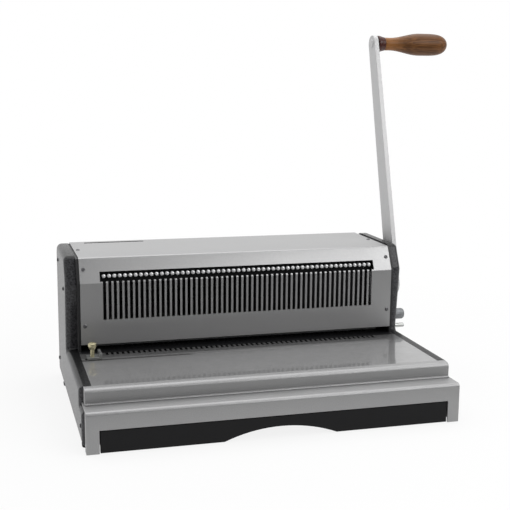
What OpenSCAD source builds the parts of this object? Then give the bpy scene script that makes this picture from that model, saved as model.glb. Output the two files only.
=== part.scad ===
// Hand-lever coil binding punch: sheet-metal body, 54 dies, drop lever, chip drawer.
// Millimetres, X to the right, Y to the back, Z up, origin on the desk under the front left foot.
// The modules are drawn about the middle of the base, and placed() moves them to that origin.

/* [Body] */
// length of the upper cover between the side plates
cover_w = 389.6; // [370:0.1:420]
// depth of the base from apron face to rear face
base_d = 298; // [276:1:310]
// height of the flat top over the desk
top_z = 172; // [170:0.5:190]
// sheet thickness of the cover
cover_t = 1.5; // [1:0.1:2]
// cover face behind the apron face
front_setback = 169; // [160:0.5:180]
// height of the slanted face
slope_h = 28.5; // [26:0.5:31]
// how far the slanted face leans back
slope_run = 14.5; // [10:0.5:16]
// lower edge of the cover over the table
mouth_h = 8.5; // [7:0.5:14]
// outside radius of the cover's bends
bend_r = 3; // [2:0.5:5]
// gauge slot in the top of the cover, length
top_slot_w = 76; // [40:1:90]
// gauge slot in the top of the cover, width
top_slot_d = 5; // [2:0.5:8]
// gauge slot from the cover's left end
top_slot_x = 17.7; // [12:0.1:40]
// gauge slot before the rear face
top_slot_back = 12.5; // [9:0.5:24]
// thickness of the rear panel
rear_t = 1.5; // [1:0.1:2]

/* [Side plates and cheeks] */
// thickness of the steel side plates
plate_t = 3; // [2:0.5:4]
// gap between the cover's end and the side plate
cover_gap = 0.2; // [0.1:0.1:0.5]
// width of the flanges that carry the cover
flange_w = 10; // [8:0.5:11]
// thickness of the flanges
flange_t = 2; // [1.5:0.1:2.2]
// flange end over the cover's lower edge
flange_up = 4; // [2:0.5:10]
// side plate's lower edge over the cheek's
plate_up = 1; // [0.5:0.5:3]
// side plate behind the comb plate's edge
comb_clear = 1; // [0.5:0.5:3]
// overall width of a cheek
cheek_w = 13.4; // [10:0.1:16]
// wall thickness of a cheek
cheek_t = 2.5; // [2:0.1:4]
// gap between the apron's return and the cheek
cheek_gap = 0.5; // [0.2:0.1:1]
// gap between the nose bar and the cheek's rail
rail_gap = 0.3; // [0.2:0.1:1]
// front corners of a cheek, radius
cheek_r = 3; // [2:0.5:4]
// lower rear corner of a cheek, radius
cheek_base_r = 8; // [4:0.5:12]
// upper rear corner of a cheek, radius
cheek_rear_r = 14; // [8:0.5:20]
// brow of a cheek, radius
cheek_brow_r = 7; // [4:0.5:10]
// crease of a cheek, radius
cheek_crease_r = 10; // [6:0.5:14]
// hollow between rail and rim of a cheek, radius
rail_r = 4; // [2:0.5:8]
// front end of a rail, radius
rail_end_r = 2; // [1:0.5:4]
// cheek rim behind the cover face, at the rail
rim_setback = 15; // [10:0.5:22]
// cheek brow behind the cover face
brow_setback = 7; // [6:0.5:17]
// cheek top over the cover's top
cheek_rise = 1; // [0:0.5:3]
// rail top over the table
rail_rise = 0; // [0:0.5:3]
// diameter of a rubber foot
foot_dia = 11.6; // [8:0.1:14]
// height of a rubber foot
foot_h = 5; // [4:0.5:8]
// front feet behind the apron face
foot_front = 27; // [20:0.5:40]
// rear feet before the rear face
foot_rear = 55; // [20:0.5:60]
// rear feet further out than the front feet
foot_out = 0.5; // [0:0.5:3]

/* [Table and apron] */
// height of the table over the desk
table_z = 62; // [60:0.5:66]
// thickness of the table sheet
table_t = 2; // [1.5:0.1:3]
// depth of the nose bar
nose_d = 12; // [9:0.5:16]
// radius of the nose bar's front edge
nose_r = 5; // [3:0.5:8]
// lip along the nose bar's foot, depth
nose_lip_d = 2; // [1:0.5:4]
// lip along the nose bar's foot, height
nose_lip_h = 1.8; // [1:0.1:3]
// nose bar ends inside the cheek faces
nose_inset = 4.8; // [2:0.1:6]
// height of the apron ledge
ledge_z = 45; // [42:0.5:48]
// depth of the ledge in front of the nose
ledge_d = 25; // [20:0.5:30]
// sheet thickness of the apron
apron_t = 2; // [1.5:0.1:3]
// apron's lower edge over the desk
apron_clear = 0.5; // [0.5:0.5:4]
// apron ends inside the cheek faces
apron_inset = 3; // [1:0.1:4]
// radius of the apron's front edge
apron_r = 4; // [3:0.5:6]
// depth of the apron's end returns
apron_return = 11.5; // [8:0.5:16]
// depth of the comb plate at the throat
comb_d = 29; // [27:0.5:32]
// comb plate edge in front of the cover face
comb_gap = 8; // [6:0.5:10]
// width of a comb notch
notch_w = 3; // [2:0.1:4]
// depth of a comb notch
notch_d = 10; // [6:0.5:11]
// thickness of the cross beams under the table
beam_t = 12; // [8:0.5:14]
// rear table beam under the comb plate
beam_lap = 1.5; // [1:0.5:4]

/* [Dies] */
// pitch of the holes
pitch = 6.2865; // [6.2:0.0005:6.35]
// cover past the last die at each end, at least
die_end = 28; // [26:0.5:34]
// diameter of a punch
punch_dia = 4; // [3.6:0.1:4.4]
// punch line behind the cover face
punch_back = 18; // [17:0.5:19]
// clearance of a punch in guide and die
punch_clear = 0.3; // [0.25:0.01:0.4]
// punch tips over the guide's lower face
punch_up = 1; // [0.5:0.5:2]
// width of a slot in the cover
slot_w = 3.8; // [2.6:0.1:4.2]
// lower end of the slots
slot_bottom_z = 99.5; // [90:0.5:110]
// window over the slots, height
window_h = 11; // [9:0.5:12]
// window over the slots, low edge above the crease
window_up = 1.5; // [1:0.5:3]
// window past the last slot at each end
window_over = 5; // [3:0.5:8]
// clear height of the paper throat
throat_h = 5; // [4.5:0.1:6]
// thickness of the die plate
die_t = 10; // [9:0.5:12]
// depth of the die plate behind the punch line
die_back = 19; // [17:0.5:22]
// height of the punch guide block
guide_h = 25; // [20:0.5:25.5]
// depth of the punch guide block
guide_d = 14; // [12:0.5:15]
// height of the die beams
die_beam_h = 12; // [8:0.5:14]
// front die beam under the comb plate
die_beam_front = 12; // [8:0.5:14]
// depth of the rear die beam
die_beam_rear = 9; // [6:0.5:12]
// chip gap before the punch line
chip_gap = 14; // [8:0.5:16]

/* [Ram and selector pins] */
// depth of the ram bar
ram_d = 18; // [16:0.5:18.5]
// height of the ram bar
ram_h = 19; // [17:0.5:19.5]
// ram front before the punch line
ram_front = 6; // [5:0.5:6.5]
// ram past a guide column's axis
ram_over = 6.5; // [6:0.5:8]
// ram over the tops of the punches
ram_cap = 3; // [2:0.5:4]
// ram behind the selector holes
ram_wall = 4; // [3:0.5:5]
// diameter of a guide column
column_dia = 10; // [8:0.5:10]
// air between the last punch and a return spring
column_gap = 1; // [0.6:0.1:1.5]
// guide column over the ram at rest
column_up = 3.5; // [2:0.5:3.5]
// running clearance of the ram on a column
column_clear = 0.08; // [0.03:0.01:0.1]
// wire of a return spring
spring_wire = 1.4; // [1:0.1:1.5]
// turns of a return spring
spring_turns = 8; // [6:0.5:10]
// air between return spring and column
spring_gap = 0.5; // [0.4:0.1:0.8]
// stem of a selector pin
selector_dia = 2; // [1.6:0.1:2.2]
// head of a selector pin
selector_head = 4.6; // [3.6:0.1:5]
// length of a selector head
selector_head_l = 4; // [3:0.5:4.5]
// head face behind the cover face
selector_in = 4.5; // [4:0.5:5]
// length of a selector stem
selector_l = 15.5; // [15:0.5:17]
// clearance around a selector stem
selector_clear = 0.3; // [0.25:0.01:0.35]
// pins of each end that are drawn singly
single_n = 2; // [2:1:2]

/* [Drive] */
// diameter of the drive shaft
shaft_dia = 12; // [10:0.5:12.5]
// drive shaft below the ram
shaft_drop = 23; // [21:0.5:25]
// gear module of the drive pinions
gear_m = 1.25; // [1:0.05:1.3]
// teeth of a drive pinion
gear_n = 14; // [14:1:15]
// width of a drive pinion
gear_w = 14; // [10:1:18]
// width of a drive rack
rack_w = 12; // [8:1:14]
// drive racks from the middle
rack_x = 120; // [80:1:150]
// rack below the ram
rack_h = 33; // [31:0.5:33.5]
// tooth thinning for backlash
backlash = 0.2; // [0.1:0.01:0.3]
// rack back face before its pitch line
rack_body = 9.7; // [9:0.1:10]
// rack pitch line behind the ram
rack_gap = 3.75; // [3.5:0.05:4.2]
// rack screws each side of the rack's middle
rack_screw_x = 3; // [2.6:0.1:3.6]
// rack screws before the ram's rear face
rack_screw_in = 4; // [3.5:0.1:4.2]
// rack screw inside the rack
rack_screw_l = 8; // [6:0.5:12]
// head of a rack screw
rack_screw_head = 5; // [4.5:0.1:5.2]
// shafts past the left side plate
shaft_past = 1.5; // [1:0.5:4]
// pressure angle of the gears
gear_angle = 25; // [22:0.5:26]
// outside of a shaft bush
bush_dia = 18; // [16:0.5:20]
// flange of a shaft bush
bush_flange = 24; // [22:0.5:28]
// thickness of the bush flange
bush_flange_t = 2; // [1.5:0.5:3]
// running clearance of the shafts
shaft_clear = 0.06; // [0.02:0.01:0.1]
// width of the shaft collar
collar_w = 8; // [5:0.5:10]
// outside of the shaft collar
collar_dia = 22; // [20:0.5:24]

/* [Lever and grip] */
// pivot to grip axis
lever_len = 322.5; // [280:0.5:360]
// lean of the lever at rest
lever_lean = 16.2; // [10:0.1:20]
// thickness of the lever bar
lever_t = 5.5; // [5:0.5:8]
// width of the bar at the pivot
lever_low_w = 31; // [26:0.5:36]
// width of the bar at the grip
lever_top_w = 22; // [18:0.5:26]
// spacer between cheek and lever bar
lever_gap = 2.1; // [2:0.1:5]
// running gap at the cheek
cheek_run = 0.4; // [0.3:0.1:1]
// diameter of the lever hub
hub_dia = 18; // [16:0.5:30]
// length of the lever hub
hub_l = 3; // [2.5:0.5:12]
// taper of the lever hub
hub_taper = 1; // [0.5:0.5:3]
// shaft end inside the hub's face
hub_sink = 1.5; // [1:0.5:2]
// shank of the hub screw
hub_screw_shank = 5; // [4:0.5:8]
// height of the hub screw head
hub_screw_h = 2; // [1.5:0.5:6]
// diameter of the hub screw head
hub_screw_dia = 9; // [8:0.5:14]
// diameter of the grip bolt
bolt_dia = 8; // [6:0.5:10]
// head of the grip bolt
bolt_head = 13; // [11:0.5:16]
// height of the bolt head
bolt_head_h = 1; // [0.8:0.1:4]
// washer under the grip, thickness
washer_t = 1.6; // [1:0.1:2.5]
// washer under the grip, diameter
washer_dia = 16; // [13:0.5:18]
// length of the ferrule
ferrule_l = 10; // [6:0.5:14]
// larger diameter of the ferrule
ferrule_dia = 21.5; // [18:0.1:24]
// length of the wooden grip
grip_l = 92; // [70:1:110]
// largest diameter of the grip
grip_dia = 29.5; // [24:0.5:34]
// neck diameter of the grip
grip_neck = 17; // [14:0.5:20]
// blind end of the grip's bore
grip_blind = 22; // [18:1:40]
// narrowest place of the grip, share of its length
grip_dip = 0.08; // [0.05:0.01:0.15]
// fullest place of the grip, share of its length
grip_full = 0.56; // [0.5:0.01:0.65]
// narrowest place of the grip, share of its neck
grip_waist = 0.99; // [0.88:0.01:1]
// bluntness of the grip's end
grip_blunt = 4.5; // [2:0.1:6]

/* [Margin controls] */
// diameter of the depth shaft
depth_dia = 6; // [5:0.5:6.5]
// depth shaft behind the punch line
depth_back = 15; // [14:0.5:16]
// depth shaft over the paper throat
depth_up = 11; // [11:0.5:13]
// gear module of the depth pinions
depth_m = 0.8; // [0.75:0.05:0.85]
// teeth of a depth pinion
depth_n = 12; // [12:1:12]
// width of a depth pinion
depth_w = 7; // [5:0.5:8]
// depth pinions inside the side plates
depth_x = 14; // [13:0.5:16]
// diameter of the depth knob
depth_knob_dia = 14; // [10:0.5:16]
// length of the depth knob
depth_knob_l = 16; // [12:0.5:20]
// solid end of the depth knob
knob_cap = 3; // [2:0.5:5]
// chamfer of the depth knob
knob_edge = 1; // [0.5:0.5:2]
// depth of the back gauge
gauge_d = 6.5; // [5:0.5:7]
// gauge face behind the punch line at rest
gauge_back = 3.5; // [3:0.1:4]
// gap of the gauge to the plates over and under it
gauge_gap = 0.3; // [0.25:0.05:0.5]
// width of a gauge arm
gauge_arm_w = 8; // [7:0.5:9]
// length of a gauge rack
gauge_rack_l = 17; // [16:0.5:20]
// gauge rack behind the guide block
gauge_rack_gap = 1; // [0.5:0.5:2]
// diameter of the knob stop pin
stop_dia = 5.5; // [4:0.5:6]
// length of the knob stop pin
stop_l = 13; // [8:0.5:14]
// stop pin behind the cheek's rim
stop_back = 8; // [7:0.5:10]
// stop pin over the rail
stop_up = 3; // [1:0.5:4]
// side guide stud inside the side plate
side_x = 9.5; // [9:0.5:12]
// travel of the side guide each way
side_travel = 6; // [3:0.5:6]
// diameter of the guide stud
stud_dia = 4.6; // [4:0.1:5]
// guide stud from the edges of the side guide
stud_in = 6; // [5:0.5:7]
// guide stud below the table sheet
stud_low = 8; // [6:0.5:12]
// clearance of the guide stud in its slot
stud_clear = 0.3; // [0.2:0.05:0.6]
// diameter of the guide knob
guide_knob_dia = 9.5; // [8:0.5:12]
// height of the guide knob
guide_knob_h = 8; // [6:0.5:10]
// knob underside over the table
guide_knob_up = 11; // [9:0.5:14]
// thickness of the side guide
guide_plate_t = 3; // [2:0.5:4]
// width of the side guide plate
guide_plate_w = 16.5; // [15:0.5:16.5]
// depth of the side guide plate
guide_plate_d = 13; // [11:0.5:14]
// height of the side guide's fence
fence_h = 7; // [5:0.5:10]
// thickness of the fence
fence_t = 3; // [2:0.5:4]
// depth of the fence
fence_d = 21; // [16:0.5:24]
// gap between the side guide and the table
guide_lift = 0.2; // [0.1:0.05:0.4]
// width of the guide nut
nut_w = 6; // [5.5:0.5:8]
// depth of the guide nut
nut_d = 8; // [6:0.5:10]
// height of the guide nut
nut_h = 4; // [3:0.5:6]
// gap between the guide nut and the table
nut_gap = 0.3; // [0.1:0.05:0.6]

/* [Chip drawer] */
// height of the drawer opening over the desk
bay_z = 25.5; // [23:0.5:28]
// gap around the drawer front
drawer_gap = 0.8; // [0.5:0.1:1.2]
// thickness of the drawer front
drawer_front_t = 3.5; // [2.5:0.5:5]
// drawer front behind the apron face
drawer_sink = 1; // [0.5:0.5:3]
// chord of the finger arch
arch_w = 126; // [90:1:150]
// height of the finger arch
arch_h = 12.2; // [9:0.1:13]
// sheet thickness of the tray
tray_t = 1.2; // [1:0.1:2]
// tray end before the rear face
tray_back = 31.5; // [26:0.5:60]
// tray rim below the drawer opening
tray_rim = 1.5; // [1:0.5:3]
// drawer front over the apron's lower edge
drawer_lift = 0.4; // [0.4:0.1:1.5]
// raised front part of the tray
tray_step_l = 75; // [50:1:90]
// raised floor of the tray over the desk
tray_step_z = 16.5; // [16:0.5:18]
// low floor of the tray over the desk
tray_z = 7; // [6.5:0.1:8]
// tray sides inside the side plates
tray_inset = 5.5; // [4.5:0.1:7]
// running gap of the tray on its runners
tray_run = 0.3; // [0.2:0.05:0.5]
// thickness of a runner
runner_t = 1.5; // [1.2:0.1:2]
// lip of a runner
runner_lip = 10; // [8:0.5:14]
// runner start behind the apron face
runner_front = 14; // [12.5:0.5:20]
// runner end before the tray's end
runner_short = 0.5; // [0:0.5:20]
// height of a runner
runner_h = 16; // [12:0.5:18]

/* [Fasteners and ties] */
// diameter of a cover screw
screw_dia = 3; // [2.6:0.1:4]
// head of a cover screw
screw_head = 4.8; // [4.6:0.1:8]
// height of a screw head
screw_head_h = 1.2; // [1:0.1:2]
// length of a screw below its head
screw_l = 6; // [5:0.5:8]
// diameter of the rear tie bar
tie_dia = 12; // [8:0.5:16]
// rear tie bar before the rear face
tie_back = 26; // [20:0.5:40]
// height of the rear tie bar
tie_z = 100; // [60:1:140]
// lowest rear screws over the desk
rear_screw_low = 20; // [14:0.5:30]
// middle rear screws over the desk
rear_screw_mid = 95; // [60:1:120]
// top rear screws below the cover's top
rear_screw_top = 14; // [10:0.5:24]
// low cover screws over the cover's lower edge
low_screw_up = 22.5; // [12:0.5:26]
// top cover screws behind the cover face
top_screw_back = 68; // [40:1:90]
// front cheek screw behind the apron face
cheek_screw_front = 22; // [18:0.5:34]
// low cheek screws over the desk
cheek_screw_low = 25; // [16:0.5:36]
// low rear cheek screw before the rear face
cheek_screw_rear = 14; // [10:0.5:24]
// top rear cheek screw before the rear face
cheek_screw_in = 22; // [14:0.5:34]
// top rear cheek screw below the cover's top
cheek_screw_top = 18; // [12:0.5:30]
// brow screw behind the cover face
brow_screw_back = 34; // [26:0.5:44]
// brow screw below the cover's top
brow_screw_top = 40; // [34:0.5:50]

/* [Hidden] */
base_front = -base_d / 2;
base_rear = base_d / 2;
face_y = base_front + front_setback;
plate_in = cover_w / 2 + cover_gap;
plate_out = plate_in + plate_t;
cheek_out = plate_out + cheek_w;
rail_z = table_z + rail_rise;
crease_z = top_z - slope_h;
cover_bottom_z = table_z + mouth_h;
cheek_top = top_z + cheek_rise;
nose_y = base_front + ledge_d;
seam_y = nose_y + nose_d;
comb_rear = face_y - comb_gap;
comb_front = comb_rear - comb_d;
punch_y = face_y + punch_back;
guide_z = table_z + throat_h;
guide_top = guide_z + guide_h;
die_n = floor((cover_w - 2 * die_end) / pitch) + 1;
die_x0 = -(die_n - 1) / 2 * pitch;
spring_r = column_dia / 2 + spring_gap + spring_wire / 2;
column_x = punch_dia / 2 + column_gap + spring_r + spring_wire / 2 - die_x0;
ram_y = punch_y - ram_front;
window_z = crease_z + window_up;
pin_z = window_z + window_h / 2;
ram_z = pin_z - ram_h / 2;
ram_w = 2 * (column_x + ram_over);
shaft_z = ram_z - shaft_drop;
slant = atan(slope_run / slope_h);
gear_r = gear_m * gear_n / 2;
rack_y = ram_y + ram_d + rack_gap;
rack_screw_y = ram_y + ram_d - rack_screw_in;
shaft_y = rack_y + gear_r;
depth_y = punch_y + depth_back;
depth_r = depth_m * depth_n / 2;
depth_z = guide_z + depth_up;
depth_at = plate_in - depth_x;
depth_rack_z = depth_z - depth_r;
lever_x = cheek_out + lever_gap;
grip_y = shaft_y + lever_len * sin(lever_lean);
grip_z = shaft_z + lever_len * cos(lever_lean);
bolt_l = lever_t + washer_t + ferrule_l + grip_l - grip_blind;
ferrule_x = lever_x + lever_t + washer_t + cheek_run;
side_at = plate_in - side_x;
side_y = comb_front + stud_in;
tray_y = base_front + drawer_sink + drawer_front_t;
tray_rear = base_rear - tray_back;
screw_x = plate_in - flange_w / 2;
slope_screw_z = crease_z + 0.55 * slope_h;
slope_screw_y = face_y + 0.55 * slope_run;
low_screw_z = cover_bottom_z + low_screw_up;
top_screw_y = face_y + top_screw_back;
foot_x = (plate_out + cheek_out) / 2;
foot_front_y = base_front + foot_front;
foot_rear_y = base_rear - foot_rear;

// point of a profile corner rounded with radius r, as n short edges
function fillet(a, b, c, r, n = 5) =
  let (
    u = (a - b) / norm(a - b),
    v = (c - b) / norm(c - b),
    half = acos(u * v) / 2,
    middle = b + (u + v) / norm(u + v) * r / sin(half),
    p = b + u * r / tan(half) - middle,
    q = b + v * r / tan(half) - middle
  )
  [for (i = [0 : n]) let (w = p * (1 - i / n) + q * i / n) middle + w / norm(w) * r];

// profile with every corner rounded by its own radius
function rounded(points, radii) =
  let (m = len(points))
  [for (i = [0 : m - 1])
    for (w = radii[i] > 0
      ? fillet(points[(i + m - 1) % m], points[i], points[(i + 1) % m], radii[i])
      : [points[i]]) w];

// involute flank point of a gear at a roll angle
function flank(base, roll) =
  [base * (cos(roll) + roll * PI / 180 * sin(roll)), base * (sin(roll) - roll * PI / 180 * cos(roll))];
function involute(angle) = tan(angle) * 180 / PI - angle;
function roll_at(base, r) = r <= base ? 0 : sqrt(pow(r / base, 2) - 1) * 180 / PI;
function turned(p, angle) = [p[0] * cos(angle) - p[1] * sin(angle), p[0] * sin(angle) + p[1] * cos(angle)];

// gear outline with a tooth on the X axis
module gear_outline(m, n) {
  r = m * n / 2;
  base = r * cos(gear_angle);
  root = r - 1.25 * m;
  tip = r + m;
  half = 90 / n - backlash / 2 / r * 180 / PI + involute(gear_angle);
  last = roll_at(base, tip);
  points = [for (k = [0 : n - 1])
    for (p = concat(
      [turned([root, 0], -half - 2)],
      [for (i = [0 : 4]) turned(flank(base, last * i / 4), -half)],
      [for (i = [4 : -1 : 0]) let (w = flank(base, last * i / 4)) turned([w[0], -w[1]], half)],
      [turned([root, 0], half + 2)]))
    turned(p, k * 360 / n)];
  polygon(points);
}

// rack outline: teeth towards +Y, pitch line on Y = 0, a gap at X = 0
module rack_outline(m, low, high, back) {
  step = PI * m;
  tip = step / 4 - m * tan(gear_angle) - backlash / 2;
  foot = step / 4 + 1.25 * m * tan(gear_angle) - backlash / 2;
  difference() {
    translate([low, -back])
      square([high - low, back + m]);
    for (k = [floor(low / step) - 1 : ceil(high / step) + 1])
      translate([k * step, 0])
        polygon([[tip - step / 2, m + 1], [tip - step / 2, m], [foot - step / 2, -1.25 * m],
          [step / 2 - foot, -1.25 * m], [step / 2 - tip, m], [step / 2 - tip, m + 1]]);
  }
}

// profile in the Y-Z plane, drawn as X-Y, extruded along X
module along_x(x0, x1) {
  translate([x0, 0, 0])
    rotate([90, 0, 90])
      linear_extrude(x1 - x0)
        children();
}

// round bar along X
module rod_x(x0, x1, y, z, d) {
  translate([x0, y, z])
    rotate([0, 90, 0])
      cylinder(h = x1 - x0, d = d, $fn = 64);
}

// round bar along Y
module rod_y(x, y0, y1, z, d) {
  translate([x, y0, z])
    rotate([-90, 0, 0])
      cylinder(h = y1 - y0, d = d, $fn = 32);
}

// a piece moved to the origin under the front left foot
module placed() {
  translate([foot_x, -foot_front_y, 0])
    children();
}

// slab between two corners
module slab(low, high) {
  translate(low)
    cube(high - low);
}

// clear hole for a screw at the origin
module screw_hole() {
  translate([0, 0, -screw_l])
    cylinder(h = 2 * screw_l, d = screw_dia, $fn = 32);
}

// pan-head screw at the origin, pointing down
module screw() {
  translate([0, 0, -screw_l])
    cylinder(h = screw_l, d = screw_dia, $fn = 32);
  cylinder(h = screw_head_h, d1 = screw_head, d2 = 0.75 * screw_head, $fn = 32);
}

// the places of the six cover screws
module at_cover_screws() {
  for (side = [-1, 1]) {
    translate([side * screw_x, slope_screw_y, slope_screw_z])
      rotate([90 - slant, 0, 0])
        children();
    translate([side * screw_x, face_y, low_screw_z])
      rotate([90, 0, 0])
        children();
    translate([side * screw_x, top_screw_y, top_z])
      children();
  }
}

// the places of the six rear screws
module at_rear_screws() {
  for (side = [-1, 1], z = [rear_screw_low, rear_screw_mid, top_z - rear_screw_top])
    translate([side * screw_x, base_rear, z])
      rotate([-90, 0, 0])
        children();
}

// the places of the four cheek screws on one side
module at_cheek_screws(side) {
  for (p = [
      [base_front + cheek_screw_front, cheek_screw_low],
      [base_rear - cheek_screw_rear, cheek_screw_low],
      [base_rear - cheek_screw_in, top_z - cheek_screw_top],
      [face_y + brow_screw_back, top_z - brow_screw_top]])
    translate([side * cheek_out, p[0], p[1]])
      rotate([0, side * 90, 0])
        children();
}

// outside line of the cover, moved inwards by a distance
function cover_line(w) =
  [[face_y + w, cover_bottom_z], [face_y + w, crease_z - w * tan(slant / 2)],
   [face_y + slope_run + w * tan((90 - slant) / 2), top_z - w], [base_rear, top_z - w]];

// bent strip between two offsets of the cover line, from a low end to a rear end
module cover_strip(w0, w1, low, rear) {
  a = cover_line(w0);
  b = cover_line(w1);
  polygon(rounded(
    [[a[0][0], low], a[1], a[2], [rear, a[3][1]], [rear, b[3][1]], b[2], b[1], [b[0][0], low]],
    [0, bend_r - w0 / 2, bend_r - w0 / 2, 0, 0, bend_r - w1 / 2, bend_r - w1 / 2, 0]));
}

module side_plate(side) {
  color([0.13, 0.13, 0.14])
    difference() {
      union() {
        along_x(side > 0 ? plate_in : -plate_out, side > 0 ? plate_out : -plate_in)
          polygon(concat(
            [[base_front + apron_t, foot_h + plate_up], [base_rear - rear_t, foot_h + plate_up]],
            [[base_rear - rear_t, top_z - cover_t], cover_line(cover_t)[2], cover_line(cover_t)[1]],
            [[face_y + cover_t, table_z], [comb_rear + comb_clear, table_z]],
            [[comb_rear + comb_clear, table_z - table_t], [seam_y, table_z - table_t]],
            [[seam_y, ledge_z - apron_t], [base_front + apron_t, ledge_z - apron_t]]));
        along_x(side > 0 ? plate_in - flange_w : -plate_in, side > 0 ? plate_in : flange_w - plate_in)
          cover_strip(cover_t, cover_t + flange_t, cover_bottom_z + flange_up, base_rear - rear_t);
        slab([side > 0 ? plate_in - flange_w : -plate_in, base_rear - rear_t - flange_t, foot_h + plate_up],
          [side > 0 ? plate_in : flange_w - plate_in, base_rear - rear_t, top_z - cover_t - flange_t]);
      }
      rod_x(side * (plate_in + plate_t / 2) - plate_t, side * (plate_in + plate_t / 2) + plate_t,
        shaft_y, shaft_z, bush_dia);
      rod_x(side * (plate_in + plate_t / 2) - plate_t, side * (plate_in + plate_t / 2) + plate_t,
        depth_y, depth_z, depth_dia + 2 * shaft_clear);
      at_cover_screws()
        screw_hole();
      at_rear_screws()
        screw_hole();
    }
}

module left_side_plate() {
  side_plate(-1);
}

module right_side_plate() {
  side_plate(1);
}

// outline of a cheek, moved inwards by a distance
function cheek_points(w) =
  let (
    lean = w * tan((90 - slant) / 2),
    bend = w * tan(slant / 2),
    front = base_front + apron_return + cheek_gap + w,
    rim = face_y + rim_setback + w,
    brow = face_y + brow_setback,
    rail = seam_y + rail_gap + w
  )
  [[front, foot_h + w], [base_rear - w, foot_h + w], [base_rear - w, cheek_top - w],
   [brow + slope_run + lean, cheek_top - w], [brow + w, crease_z - bend],
   [rim, rail_z - w], [rail, rail_z - w], [rail, ledge_z - apron_t - w], [front, ledge_z - apron_t - w]];

// corner radii of a cheek at that distance
function cheek_radii(w) =
  concat([for (r = [cheek_r, cheek_base_r, cheek_rear_r, cheek_brow_r, cheek_crease_r]) max(r - w, 0)],
    [rail_r + w, max(rail_end_r - w, 0), 0, max(cheek_r - w, 0)]);

module cheek(side) {
  color([0.19, 0.19, 0.2])
    difference() {
      along_x(side > 0 ? plate_out : -cheek_out, side > 0 ? cheek_out : -plate_out)
        polygon(rounded(cheek_points(0), cheek_radii(0)));
      along_x(side > 0 ? plate_out - 1 : cheek_t - cheek_out, side > 0 ? cheek_out - cheek_t : 1 - plate_out)
        polygon(rounded(cheek_points(cheek_t), cheek_radii(cheek_t)));
      if (side > 0) {
        rod_x(plate_out, cheek_out + 1, shaft_y, shaft_z, bush_flange);
        rod_x(plate_out, cheek_out + 1, depth_y, depth_z, depth_dia + 2);
      }
      at_cheek_screws(side)
        screw_hole();
    }
}

module left_cheek() {
  cheek(-1);
}

module right_cheek() {
  cheek(1);
}

module punch_cover() {
  color([0.72, 0.73, 0.74])
    difference() {
      along_x(-cover_w / 2, cover_w / 2)
        cover_strip(0, cover_t, cover_bottom_z, base_rear);
      slab([die_x0 - window_over, face_y - 5, window_z],
        [window_over - die_x0, face_y + slope_run, window_z + window_h]);
      for (i = [0 : die_n - 1])
        slab([die_x0 + i * pitch - slot_w / 2, face_y - 5, slot_bottom_z],
          [die_x0 + i * pitch + slot_w / 2, face_y + 6, window_z + 1]);
      slab([top_slot_x - cover_w / 2, base_rear - top_slot_back, top_z - 2 * cover_t],
        [top_slot_x + top_slot_w - cover_w / 2, base_rear - top_slot_back + top_slot_d, top_z + cover_t]);
      at_cover_screws()
        screw_hole();
    }
}

module rear_panel() {
  color([0.6, 0.61, 0.62])
    difference() {
      slab([-plate_out, base_rear - rear_t, foot_h + plate_up], [plate_out, base_rear, top_z - cover_t]);
      at_rear_screws()
        screw_hole();
    }
}

module apron() {
  color([0.66, 0.67, 0.68])
    difference() {
      along_x(apron_inset - cheek_out, cheek_out - apron_inset)
        polygon(rounded(
          [[base_front, apron_clear], [base_front + apron_return, apron_clear],
           [base_front + apron_return, ledge_z - apron_t],
           [seam_y, ledge_z - apron_t], [seam_y, ledge_z], [base_front, ledge_z]],
          [0, 0, 0, 0, 0, apron_r]));
      slab([apron_inset + apron_t - cheek_out, base_front + apron_t, apron_clear - 1],
        [cheek_out - apron_inset - apron_t, base_front + apron_return + 1, ledge_z - apron_t]);
      slab([-cover_w / 2, base_front - 1, apron_clear - 1], [cover_w / 2, base_front + apron_t + 1, bay_z]);
    }
}

module nose_bar() {
  color([0.68, 0.69, 0.7])
    along_x(nose_inset - cheek_out, cheek_out - nose_inset)
      polygon(rounded(
        [[nose_y - nose_lip_d, ledge_z], [seam_y, ledge_z], [seam_y, table_z], [nose_y, table_z],
         [nose_y, ledge_z + nose_lip_h], [nose_y - nose_lip_d, ledge_z + nose_lip_h]],
        [0, 0, 0, nose_r, 0, 0.6 * nose_lip_h]));
}

module table_plate() {
  color([0.6, 0.61, 0.62])
    slab([-plate_out, seam_y, table_z - table_t], [plate_out, comb_front, table_z]);
}

module comb_plate() {
  color([0.7, 0.71, 0.72])
    difference() {
      slab([-plate_out, comb_front, table_z - table_t], [plate_out, comb_rear, table_z]);
      for (i = [0 : die_n - 1])
        slab([die_x0 + i * pitch - notch_w / 2, comb_rear - notch_d, table_z - table_t - 1],
          [die_x0 + i * pitch + notch_w / 2, comb_rear + 1, table_z + 1]);
      slab([-side_at - side_travel, side_y - stud_dia / 2 - stud_clear, table_z - table_t - 1],
        [side_travel - side_at, side_y + stud_dia / 2 + stud_clear, table_z + 1]);
      for (end = [-1, 1])
        translate([end * side_travel - side_at, side_y, table_z - table_t - 1])
          cylinder(h = table_t + 2, d = stud_dia + 2 * stud_clear, $fn = 32);
    }
}

module table_beams() {
  color([0.2, 0.2, 0.21]) {
    slab([-plate_in, seam_y, table_z - table_t - beam_t], [plate_in, seam_y + beam_t, table_z - table_t]);
    slab([-plate_in, comb_front + beam_lap - beam_t, table_z - table_t - beam_t],
      [plate_in, comb_front + beam_lap, table_z - table_t]);
  }
}

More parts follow.
